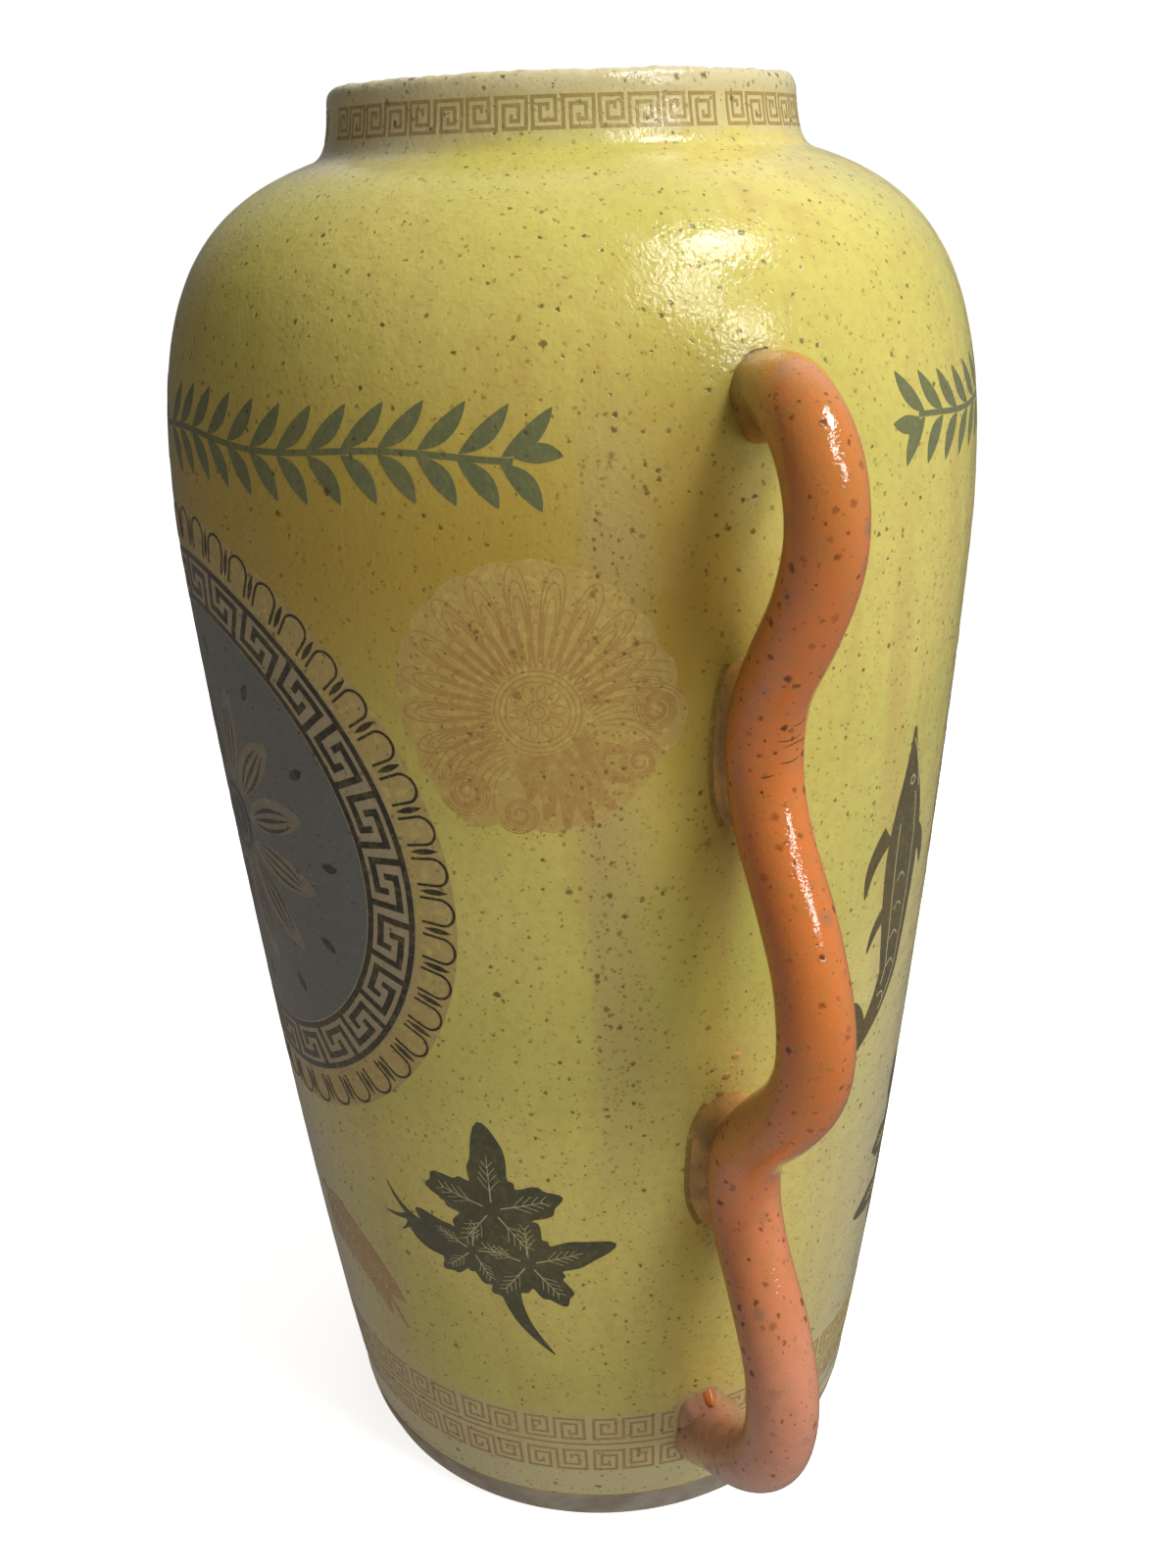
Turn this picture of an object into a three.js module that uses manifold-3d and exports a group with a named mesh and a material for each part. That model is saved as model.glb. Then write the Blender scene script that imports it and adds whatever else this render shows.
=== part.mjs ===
// Stoneware amphora with two wavy coil handles.
// Millimetres, +Z up. The origin is on the ground at the middle of the foot. The handles point to +X and -X.
import * as THREE from "three";
import { mergeVertices } from "three/addons/utils/BufferGeometryUtils.js";
import Module from "manifold-3d";

// Foot and floor
const footRadius = 98;
const footHeight = 14;
const footRingWidth = 15;
const footEdge = 1.6;
const floorThickness = 12;

// Body: the outer wall swells from the foot to the belly, and closes over the shoulder to the neck
const wallThickness = 8.5;
const footTopRadius = 102;
const lowerSwellRadius = 121;
const lowerSwellHeight = 132;
const bellyRadius = 135;
const bellyHeight = 368;
const bellyFullness = 25;
const shoulderHeight = 107.5;
const shoulderFullness = 67;
const shoulderCrownRadius = 121;
const shoulderCrownDrop = 13.2;

// Throwing joints, as heights above the ground
const lowerJointHeight = 145;
const middleJointHeight = 262;

// Neck and rim
const neckRootRadius = 80;
const neckRadius = 73.8;
const neckFilletRadius = 75;
const neckFilletRise = 1.7;
const neckHeight = 14.5;
const rimHeight = 7;

// Handle coil: its diameters where it was rolled thick and thin
const coilAtShoulder = 21.4;
const coilAtUpperContact = 20.4;
const coilAtMiddleBulge = 22.4;
const coilAtLowerContact = 23;
const coilAtFoot = 23.4;

// Handle heights: the upper part is set down from the root in the shoulder, the lower part up from the foot
const upperRootRise = 46.5;
const upperCrestDrop = 23.5;
const upperContactDrop = 93;
const lowerContactHeight = 171.5;
const lowerCrestHeight = 99;
const lowerRootHeight = 36.5;
const upperContactRun = 17;
const lowerContactRun = 13;
const middleCrestShare = 0.54;

// How far the middle of the coil stands off the wall at the crest of each bulge
const upperBulge = 39;
const middleBulge = 47.2;
const lowerBulge = 47;
const stubLength = 15;
const stubRise = 2.8;
const contactPress = 0.3;

// How the coil curves between contact and crest, and how sharply it tucks in at the foot
const waveShape = 0.8;
const tuckShape = 2.2;

// Luting pads: how far they spread past the coil, how far they stand off the wall, and their lengths
const padThickness = 1.5;
const rootPadSpread = 3.5;
const rootPadRise = 4.5;
const contactPadSpread = 5.5;
const contactPadRise = 6;
const contactPadLength = 52;
const lowerRootPadSpread = 4;
const lowerRootPadRise = 7;
const nubRadius = 5.5;
const nubRise = 6;

// Clearance where a coil, a pad and the wall meet
const seatGap = 0.3;

// Facets
const wallSides = 56;
const innerShare = 0.6;
const coilSides = 14;
const coilSteps = 68;
const padSides = 12;

// Materials
const glaze = new THREE.MeshStandardMaterial({ color: 0xb9ab3c, roughness: 0.3, metalness: 0 });
const handleGlaze = new THREE.MeshStandardMaterial({ color: 0xc98a1c, roughness: 0.18, metalness: 0 });
const rimGlaze = new THREE.MeshStandardMaterial({ color: 0x9a8442, roughness: 0.45, metalness: 0 });
const bareClay = new THREE.MeshStandardMaterial({ color: 0x8a7d66, roughness: 0.85, metalness: 0 });

const wasm = await Module();
wasm.setup();

// Points of the profile: x is the radius and y is the height
const at = (radius, height) => new THREE.Vector2(radius, height);

const shoulderTop = bellyHeight + shoulderHeight;
const neckTop = shoulderTop + neckHeight;
const rimTop = neckTop + rimHeight;

// The outer wall from the top of the foot to the rim, as three curves end to end
function outerCurves() {
  const lower = new THREE.CubicBezierCurve(
    at(footTopRadius, footHeight),
    at(lowerSwellRadius, lowerSwellHeight),
    at(bellyRadius, bellyHeight - bellyFullness),
    at(bellyRadius, bellyHeight),
  );
  const shoulder = new THREE.CubicBezierCurve(
    at(bellyRadius, bellyHeight),
    at(bellyRadius, bellyHeight + shoulderFullness),
    at(shoulderCrownRadius, shoulderTop - shoulderCrownDrop),
    at(neckRootRadius, shoulderTop),
  );
  const neck = new THREE.QuadraticBezierCurve(
    at(neckRootRadius, shoulderTop),
    at(neckFilletRadius, shoulderTop + neckFilletRise),
    at(neckRadius, neckTop),
  );
  return [
    { curve: lower, steps: 9 },
    { curve: shoulder, steps: 9 },
    { curve: neck, steps: 4 },
  ];
}

// The same wall moved along its normal: outwards for a clearance, inwards for the inner face
function offsetWall(distance, share = 1) {
  const points = [];
  for (const { curve, steps: most } of outerCurves()) {
    const steps = Math.ceil(most * share);
    for (let i = points.length ? 1 : 0; i <= steps; i++) {
      const tangent = curve.getTangent(i / steps);
      const normal = at(tangent.y, -tangent.x);
      points.push(curve.getPoint(i / steps).addScaledVector(normal, distance));
    }
  }
  return points;
}

const outerWall = offsetWall(0);
const innerWall = offsetWall(-wallThickness, innerShare);

// Radius of a wall at a height, on the straight line between its two nearest points
function radiusAt(wall, height) {
  const above = wall.findIndex((p) => p.y >= height);
  if (above <= 0) return above ? wall[wall.length - 1].x : wall[0].x;
  const [low, high] = [wall[above - 1], wall[above]];
  return low.x + ((high.x - low.x) * (height - low.y)) / (high.y - low.y);
}

// The stretch of a wall between two heights, with its ends exactly on them
function stretch(wall, bottom, top) {
  const between = wall.filter((p) => p.y > bottom + 0.5 && p.y < top - 0.5);
  return [at(radiusAt(wall, bottom), bottom), ...between, at(radiusAt(wall, top), top)];
}

// A profile turned about the vertical axis. It closes on itself, or starts and ends on the axis.
function turned(profile) {
  return new THREE.LatheGeometry(profile, wallSides).rotateX(Math.PI / 2);
}

function closed(profile) {
  return [...profile, profile[0].clone()];
}

// Mesh geometry and solids, back and forth, for the cuts
function solid(geometry) {
  const bare = geometry.clone().deleteAttribute("normal").deleteAttribute("uv");
  const merged = mergeVertices(bare, 1e-4);
  return new wasm.Manifold(
    new wasm.Mesh({
      numProp: 3,
      vertProperties: new Float32Array(merged.attributes.position.array),
      triVerts: new Uint32Array(merged.index.array),
    }),
  );
}

function geometryOf(body) {
  const mesh = body.getMesh();
  const geometry = new THREE.BufferGeometry();
  geometry.setAttribute("position", new THREE.BufferAttribute(mesh.vertProperties, 3));
  geometry.setIndex(new THREE.BufferAttribute(mesh.triVerts, 1));
  geometry.computeVertexNormals();
  return geometry;
}

// Foot ring: a turned ring with a slightly splayed outer face and softened edges
function footRing() {
  const inside = footRadius - footRingWidth;
  const outerFace = new THREE.QuadraticBezierCurve(
    at(footRadius, footEdge),
    at(footRadius + (footTopRadius - footRadius) * 0.8, footHeight * 0.6),
    at(footTopRadius, footHeight),
  );
  return turned(
    closed([
      at(inside + footEdge, 0),
      at(footRadius - footEdge, 0),
      ...outerFace.getPoints(3),
      at(inside, footHeight),
      at(inside, footEdge),
    ]),
  );
}

const floorTop = footHeight + floorThickness;

function floorSlab() {
  return turned([
    at(0, footHeight),
    ...stretch(outerWall, footHeight, floorTop),
    at(0, floorTop),
  ]);
}

// A thrown section of the wall between two flat joints
function wallSection(bottom, top) {
  const outside = stretch(outerWall, bottom, top);
  const inside = stretch(innerWall, bottom, top).reverse();
  return turned(closed([...outside, ...inside]));
}

// Rim roll: a half-round lip on the neck's flat top, as wide as the neck's wall there
function rimRoll() {
  const outside = radiusAt(outerWall, neckTop);
  const inside = radiusAt(innerWall, neckTop);
  const half = (outside - inside) / 2;
  const straight = Math.max(rimHeight - half, 0);
  const middle = at(outside - half, neckTop + straight);
  const lip = new THREE.EllipseCurve(middle.x, middle.y, half, rimHeight - straight, 0, Math.PI);
  return turned(closed([at(outside, neckTop), ...lip.getPoints(7), at(inside, neckTop)]));
}

// The whole pot as one filled shape, grown by a clearance, to cut coils and pads to their seats
function filledBody(clearance) {
  const wall = offsetWall(clearance);
  const last = wall[wall.length - 1];
  const foot = wall[0];
  return solid(
    turned([
      at(0, -footHeight),
      at(foot.x, -footHeight),
      ...wall,
      at(last.x, rimTop + rimHeight),
      at(0, rimTop + rimHeight),
    ]),
  );
}

// Stations of the coil: height, stand-off of its middle from the wall, and diameter
const station = (height, standOff, diameter) => ({ height, standOff, diameter });
const seated = (height, diameter) => station(height, diameter / 2 - contactPress, diameter);

const upperRoot = bellyHeight + upperRootRise;
const upperContact = upperRoot - upperContactDrop;
const middleCrest = THREE.MathUtils.lerp(lowerContactHeight, upperContact, 1 - middleCrestShare);

// Steps between two stations, by one easing for the height and one for the stand-off
function between(from, to, steps, heightShare, standOffShare) {
  const made = [];
  for (let i = 1; i < steps; i++) {
    const share = i / steps;
    made.push(
      station(
        THREE.MathUtils.lerp(from.height, to.height, heightShare(share)),
        THREE.MathUtils.lerp(from.standOff, to.standOff, standOffShare(share)),
        THREE.MathUtils.lerp(from.diameter, to.diameter, share),
      ),
    );
  }
  return made;
}

const even = (share) => share;

// A quarter of an ellipse, from level to upright: one easing for the height and one for the reach
const bendDown = (share) => 1 - Math.cos((share * Math.PI) / 2);
const bendOut = (share) => Math.sin((share * Math.PI) / 2);

// From the lowest crest in to the root at the foot: steep at first, then ever flatter
const tuckIn = (share) => share ** tuckShape;

// From a contact out to a crest: a cosine that leaves the wall quickly and rounds over slowly
const waveOut = (share) => (1 - Math.cos(Math.PI * share ** waveShape)) / 2;

// From a crest in to a contact: the same wave run backwards
const waveIn = (share) => 1 - waveOut(1 - share);

// The whole coil, from inside the wall at the shoulder to inside the wall at the foot
function coilStations() {
  const rootDepth = -wallThickness / 2;
  const root = station(upperRoot, rootDepth, coilAtShoulder);
  const stub = station(upperRoot + stubRise, stubLength, coilAtShoulder);
  const upperCrest = station(upperRoot - upperCrestDrop, upperBulge, coilAtShoulder);
  const upperOn = seated(upperContact + upperContactRun / 2, coilAtUpperContact);
  const upperOff = seated(upperContact - upperContactRun / 2, coilAtUpperContact);
  const crest = station(middleCrest, middleBulge, coilAtMiddleBulge);
  const lowerOn = seated(lowerContactHeight + lowerContactRun / 2, coilAtLowerContact);
  const lowerOff = seated(lowerContactHeight - lowerContactRun / 2, coilAtLowerContact);
  const lowerCrest = station(lowerCrestHeight, lowerBulge, coilAtFoot);
  const foot = station(lowerRootHeight, 0, coilAtFoot);
  const end = station(lowerRootHeight + rootDepth / 2, rootDepth, coilAtFoot);
  return [
    root,
    stub,
    ...between(stub, upperCrest, 3, bendDown, bendOut),
    upperCrest,
    ...between(upperCrest, upperOn, 5, even, waveIn),
    upperOn,
    upperOff,
    ...between(upperOff, crest, 5, even, waveOut),
    crest,
    ...between(crest, lowerOn, 5, even, waveIn),
    lowerOn,
    lowerOff,
    ...between(lowerOff, lowerCrest, 5, even, waveOut),
    lowerCrest,
    ...between(lowerCrest, foot, 4, even, tuckIn),
    foot,
    end,
  ];
}

// The middle line of the coil, in the plane of the +X handle
function coilLine() {
  const points = coilStations().map(
    ({ height, standOff }) => new THREE.Vector3(radiusAt(outerWall, height) + standOff, 0, height),
  );
  return new THREE.CatmullRomCurve3(points, false, "centripetal");
}

// A coil of clay lofted along its line: a ring of points at each step, its diameter eased between stations
function coil(growth) {
  const line = coilLine();
  const diameters = coilStations().map(({ diameter }) => diameter);
  const frames = line.computeFrenetFrames(coilSteps);
  const vertices = [];
  const faces = [];
  for (let i = 0; i <= coilSteps; i++) {
    const along = line.getUtoTmapping(i / coilSteps) * (diameters.length - 1);
    const from = Math.min(Math.floor(along), diameters.length - 2);
    const diameter = THREE.MathUtils.lerp(diameters[from], diameters[from + 1], along - from);
    const radius = diameter / 2 + growth;
    const middle = line.getPointAt(i / coilSteps);
    for (let k = 0; k < coilSides; k++) {
      const turn = (2 * Math.PI * k) / coilSides;
      const point = middle
        .clone()
        .addScaledVector(frames.normals[i], radius * Math.cos(turn))
        .addScaledVector(frames.binormals[i], radius * Math.sin(turn));
      vertices.push(point.x, point.y, point.z);
    }
  }
  const ring = (i, k) => i * coilSides + (k % coilSides);
  for (let i = 0; i < coilSteps; i++)
    for (let k = 0; k < coilSides; k++) {
      faces.push(ring(i, k), ring(i, k + 1), ring(i + 1, k));
      faces.push(ring(i, k + 1), ring(i + 1, k + 1), ring(i + 1, k));
    }
  for (let k = 1; k < coilSides - 1; k++) {
    faces.push(ring(0, 0), ring(0, k + 1), ring(0, k));
    faces.push(ring(coilSteps, 0), ring(coilSteps, k), ring(coilSteps, k + 1));
  }
  const geometry = new THREE.BufferGeometry();
  geometry.setAttribute("position", new THREE.Float32BufferAttribute(vertices, 3));
  geometry.setIndex(faces);
  return geometry;
}

// A handle is the coil with its back pressed flat against its pads, one pad's thickness off the wall
const handleSeat = seatGap + padThickness + seatGap;
const handleSolid = solid(coil(0)).subtract(filledBody(handleSeat));
const handleRoom = solid(coil(seatGap)).subtract(filledBody(handleSeat - seatGap));
const wallRoom = filledBody(seatGap);

// A flattened oval of clay lying on the wall at a height, turned to the wall's slope there
function oval(height, halfWidth, halfHeight, rise) {
  const slope = Math.atan2(
    radiusAt(outerWall, height - halfHeight) - radiusAt(outerWall, height + halfHeight),
    2 * halfHeight,
  );
  const geometry = new THREE.SphereGeometry(1, padSides, padSides / 2)
    .scale(rise, halfWidth, halfHeight)
    .rotateY(-slope)
    .translate(radiusAt(outerWall, height), 0, height);
  return solid(geometry);
}

// A luting pad is such an oval with the wall and the coil taken out of it
const seatedPad = (clay) => geometryOf(clay.subtract(wallRoom).subtract(handleRoom));

function upperRootPad() {
  const reach = coilAtShoulder / 2 + rootPadSpread;
  return seatedPad(oval(upperRoot, reach, reach, rootPadRise));
}

function contactPad(height, diameter) {
  const halfWidth = diameter / 2 + contactPadSpread;
  return seatedPad(oval(height, halfWidth, contactPadLength / 2, contactPadRise));
}

// The pad at the foot ends in a nub of clay that was squeezed up above the coil
function lowerRootPad() {
  const reach = coilAtFoot / 2 + lowerRootPadSpread;
  const nub = oval(lowerRootHeight + reach + nubRise / 2, nubRadius, nubRadius + nubRise, nubRadius);
  return seatedPad(oval(lowerRootHeight, reach, reach + nubRise / 2, lowerRootPadRise).add(nub));
}

function mesh(name, geometry, material) {
  const made = new THREE.Mesh(geometry, material);
  made.name = name;
  return made;
}

// One handle with its four pads, in its own group
function handle(side) {
  const group = new THREE.Group();
  group.add(
    mesh(`handle_${side}`, geometryOf(handleSolid), handleGlaze),
    mesh(`${side}_upper_root_pad`, upperRootPad(), handleGlaze),
    mesh(`${side}_upper_contact_pad`, contactPad(upperContact, coilAtUpperContact), glaze),
    mesh(`${side}_lower_contact_pad`, contactPad(lowerContactHeight, coilAtLowerContact), glaze),
    mesh(`${side}_lower_root_pad`, lowerRootPad(), handleGlaze),
  );
  return group;
}

const amphora = new THREE.Group();
amphora.add(
  mesh("foot_ring", footRing(), bareClay),
  mesh("floor_slab", floorSlab(), glaze),
  mesh("lower_wall", wallSection(floorTop, lowerJointHeight), glaze),
  mesh("middle_wall", wallSection(lowerJointHeight, middleJointHeight), glaze),
  mesh("upper_wall", wallSection(middleJointHeight, bellyHeight), glaze),
  mesh("shoulder", wallSection(bellyHeight, shoulderTop), glaze),
  mesh("neck_collar", wallSection(shoulderTop, neckTop), glaze),
  mesh("rim_roll", rimRoll(), rimGlaze),
);

const rightHandle = handle("right");
const leftHandle = handle("left");
leftHandle.rotation.z = Math.PI;
amphora.add(rightHandle, leftHandle);

export default amphora;
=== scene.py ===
# Glazed stoneware amphora: turned walls, rolled coil handles, two glazes, printed bands, and a small studio.
import math

import bpy
import numpy as np
from mathutils import Matrix, Vector


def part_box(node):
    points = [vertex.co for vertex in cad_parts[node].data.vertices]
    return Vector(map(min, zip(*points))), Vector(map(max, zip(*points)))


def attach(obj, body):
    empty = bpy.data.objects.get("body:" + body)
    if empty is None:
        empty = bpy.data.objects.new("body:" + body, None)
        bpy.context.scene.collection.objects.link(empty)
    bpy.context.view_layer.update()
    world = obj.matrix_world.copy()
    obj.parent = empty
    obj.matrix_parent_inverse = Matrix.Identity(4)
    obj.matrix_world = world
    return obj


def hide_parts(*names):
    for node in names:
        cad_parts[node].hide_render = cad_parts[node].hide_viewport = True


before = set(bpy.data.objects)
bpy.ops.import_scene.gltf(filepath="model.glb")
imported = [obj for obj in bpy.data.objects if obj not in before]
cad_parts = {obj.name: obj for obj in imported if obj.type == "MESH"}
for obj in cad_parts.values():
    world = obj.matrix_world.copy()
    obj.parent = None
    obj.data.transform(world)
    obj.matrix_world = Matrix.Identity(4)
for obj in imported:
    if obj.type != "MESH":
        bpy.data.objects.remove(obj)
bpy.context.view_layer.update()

bl_info = {
    "name": "Stoneware amphora",
    "version": (1, 0, 0),
    "blender": (4, 5, 0),
    "location": "View3D > Sidebar > Amphora",
    "description": "Builds a glazed amphora with coil handles, and a studio to show it in",
    "category": "Add Mesh",
}

MM = 0.001


# The frame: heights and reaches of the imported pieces

def low(node):
    """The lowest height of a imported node."""
    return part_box(node)[0].z


def high(node):
    """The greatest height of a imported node."""
    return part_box(node)[1].z


FOOT_TOP = high("foot_ring")
FLOOR_TOP = high("floor_slab")
BELLY_HEIGHT = high("upper_wall")
BELLY_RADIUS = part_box("shoulder")[1].x
SHOULDER_TOP = high("shoulder")
NECK_TOP = high("neck_collar")
RIM_TOP = high("rim_roll")


# Colours and properties

def linear(colour):
    """sRGB hex to linear RGB: each channel follows the two-part sRGB curve."""
    channels = [int(colour[i:i + 2], 16) / 255 for i in (1, 3, 5)]
    return tuple(c / 12.92 if c <= 0.04045 else ((c + 0.055) / 1.055) ** 2.4 for c in channels)


def length(name, description, default):
    """A length in metres."""
    return bpy.props.FloatProperty(
        name=name, description=description, default=default, unit="LENGTH", precision=5)


def number(name, description, default):
    """A plain number."""
    return bpy.props.FloatProperty(name=name, description=description, default=default)


def angle(name, description, default):
    """An angle, whose default is given in degrees."""
    return bpy.props.FloatProperty(
        name=name, description=description, default=math.radians(default), subtype="ANGLE")


def paint(name, description, default):
    """A colour, whose default is given in sRGB hex."""
    return bpy.props.FloatVectorProperty(
        name=name, description=description, default=linear(default), subtype="COLOR", size=3, min=0, max=1)


class BodySizes(bpy.types.PropertyGroup):
    """The profile of the pot between the heights that the frame gives."""
    foot_radius: length("Foot radius", "Outer radius on the ground", 98 * MM)
    foot_ring_width: length("Foot ring width", "How wide the ring stands", 15 * MM)
    foot_top_radius: length("Foot top radius", "Outer radius where the glaze starts", 102 * MM)
    lower_swell_radius: length("Lower swell radius", "Radius that the lower wall is drawn towards", 121 * MM)
    lower_swell_height: length("Lower swell height", "Height that the lower wall is drawn towards", 132 * MM)
    belly_fullness: length("Belly fullness", "How long the wall stays upright below the widest line", 25 * MM)
    shoulder_fullness: length("Shoulder fullness", "How long it stays upright above the widest line", 67 * MM)
    crown_radius: length("Crown radius", "Radius that the shoulder is drawn towards", 121 * MM)
    crown_drop: length("Crown drop", "How far that point lies below the neck", 13.2 * MM)
    neck_root_radius: length("Neck root radius", "Radius where the shoulder meets the neck", 80 * MM)
    fillet_radius: length("Neck fillet radius", "Radius that the neck's fillet is drawn towards", 75 * MM)
    fillet_rise: length("Neck fillet rise", "How far that point lies above the shoulder", 1.7 * MM)
    neck_radius: length("Neck radius", "Outer radius under the rim", 73.8 * MM)
    wall: length("Wall", "Thickness of the wall", 8.5 * MM)
    ring_pitch: length("Throwing ring pitch", "Height between two throwing rings", 11 * MM)
    ring_depth: length("Throwing ring depth", "How deep the throwing rings are", 0.035 * MM)
    warp: length("Warp", "How far the fired wall is out of round", 0.3 * MM)
    bead: length("Glaze bead", "Thickness of the roll of glaze above the foot", 0.35 * MM)


class HandleSizes(bpy.types.PropertyGroup):
    """The coil of the +X handle: heights along the wall, stand-offs from the wall, and diameters."""
    root: length("Upper root", "Height of the upper root above the widest line", 46.5 * MM)
    stub: length("Stub", "How far the coil runs straight out of the shoulder", 15 * MM)
    stub_rise: length("Stub rise", "How far it rises there", 2.8 * MM)
    upper_crest_drop: length("Upper crest drop", "From the upper root to the first crest", 23.5 * MM)
    upper_contact_drop: length("Upper contact drop", "From the upper root to the first contact", 93 * MM)
    upper_run: length("Upper contact run", "How long the coil lies on the wall there", 17 * MM)
    lower_contact: length("Lower contact", "Height of the second contact", 171.5 * MM)
    lower_run: length("Lower contact run", "How long the coil lies on the wall there", 13 * MM)
    middle_crest: number("Middle crest", "Where the middle crest lies between the contacts", 0.54)
    lower_crest: length("Lower crest", "Height of the lowest crest", 99 * MM)
    foot: length("Lower root", "Height of the root at the foot", 41.5 * MM)
    upper_bulge: length("Upper bulge", "Stand-off at the first crest", 40.4 * MM)
    middle_bulge: length("Middle bulge", "Stand-off at the middle crest", 49.6 * MM)
    lower_bulge: length("Lower bulge", "Stand-off at the lowest crest", 48.2 * MM)
    thick_shoulder: length("Coil at the shoulder", "Diameter there", 21.4 * MM)
    thick_upper: length("Coil at the upper contact", "Diameter there", 21 * MM)
    thick_middle: length("Coil at the middle crest", "Diameter there", 22.4 * MM)
    thick_lower: length("Coil at the lower contact", "Diameter there", 23 * MM)
    thick_foot: length("Coil at the foot", "Diameter there", 23.4 * MM)
    press: length("Contact press", "How deep the coil is pressed into the wall", 0.6 * MM)
    drift: length("Root drift", "How far the upper root sits to one side", 6.2 * MM)
    wave: number("Wave shape", "Under 1 the coil leaves the wall more quickly", 0.8)
    tuck: number("Tuck shape", "How sharply the coil turns in at the foot", 2.6)


class Colours(bpy.types.PropertyGroup):
    """The glazes, the clay and the printing inks, as they look in even light. Some glaze colours also carry
    painted shade, painted light and a painted floor reflection.
    """
    glaze: paint("Yellow glaze", "Where the glaze lies even", "#d4c56c")
    glaze_green: paint("Green cast", "Where the glaze lies thick", "#c4bc5e")
    glaze_tan: paint("Tan cast", "Where the glaze ran thin in streaks", "#bda05a")
    # Painted shade: darker under the shoulder and beside each handle
    painted_shade_cast: paint("Deep cast", "Where the glaze pooled under the shoulder", "#b3943a")
    # Dull glaze near the foot, and also the painted pale sheen and painted light of the thin attribute
    dull_glaze_and_sheen: paint("Dull cast", "Near the foot, where the glaze lies thin", "#c9be98")
    lute: paint("Luting", "Where both glazes ran over the luted clay", "#d8a450")
    iron: paint("Iron specks", "Iron that bled through the glaze", "#503b19")
    iron_halo: paint("Light iron", "Fine specks and stains", "#80662c")
    streak: paint("Streak", "Where a second coat of glaze ran down", "#b19a66")
    haze: paint("Haze", "Thin ground round the roundels", "#b39c62")
    neck: paint("Neck glaze", "Where the glaze was wiped thin on the neck", "#cbbf94")
    orange: paint("Orange glaze", "Upper part of the handles", "#cf763a")
    # Paler pink partly as a painted reflection of the white floor
    pink_orange_and_floor_sheen: paint("Pink orange glaze", "Foot of the handles", "#d89a84")
    # Also paints shade on the coils near the wall, and colours the dark line along the crevices
    orange_stain_and_shade: paint("Stained orange", "Where the orange glaze meets the yellow", "#98803f")
    orange_spot: paint("Brown spots", "Spots in the orange glaze", "#633410")
    orange_grey: paint("Grey spots", "Larger soft spots in the orange glaze", "#71685a")
    rim: paint("Rim glaze", "Thin glaze on the rim", "#cfc194")
    clay: paint("Stoneware", "Bare fired clay of the foot", "#a59c8d")
    clay_dark: paint("Stoneware grit", "Darker grains in the clay", "#8f8574")
    ochre: paint("Ochre ink", "Lines of the key bands", "#a38a58")
    slate: paint("Slate ink", "The laurel band", "#6b704c")
    field: paint("Blue grey ink", "Field of the roundels", "#666967")
    ground: paint("Pink ground", "Ground under the roundels' rings", "#a39377")
    bloom: paint("Faded ground", "Petals on the roundels' field", "#7d776a")
    pale: paint("Pale ground", "Ground under the foot bands", "#c9b988")
    umber: paint("Umber ink", "Lines of the roundels", "#2d291b")
    olive: paint("Dark olive ink", "Leaf sprays", "#4b4b35")
    brown: paint("Dark brown ink", "Dolphins", "#544b2f")
    cream: paint("Cream line", "Lines left open in the dark figures", "#b3ab82")
    tint: paint("Faint rust", "Tint under the palmettes", "#bd9f57")
    rust: paint("Rust ink", "Palmettes and feathered leaves", "#b0894c")


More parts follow.
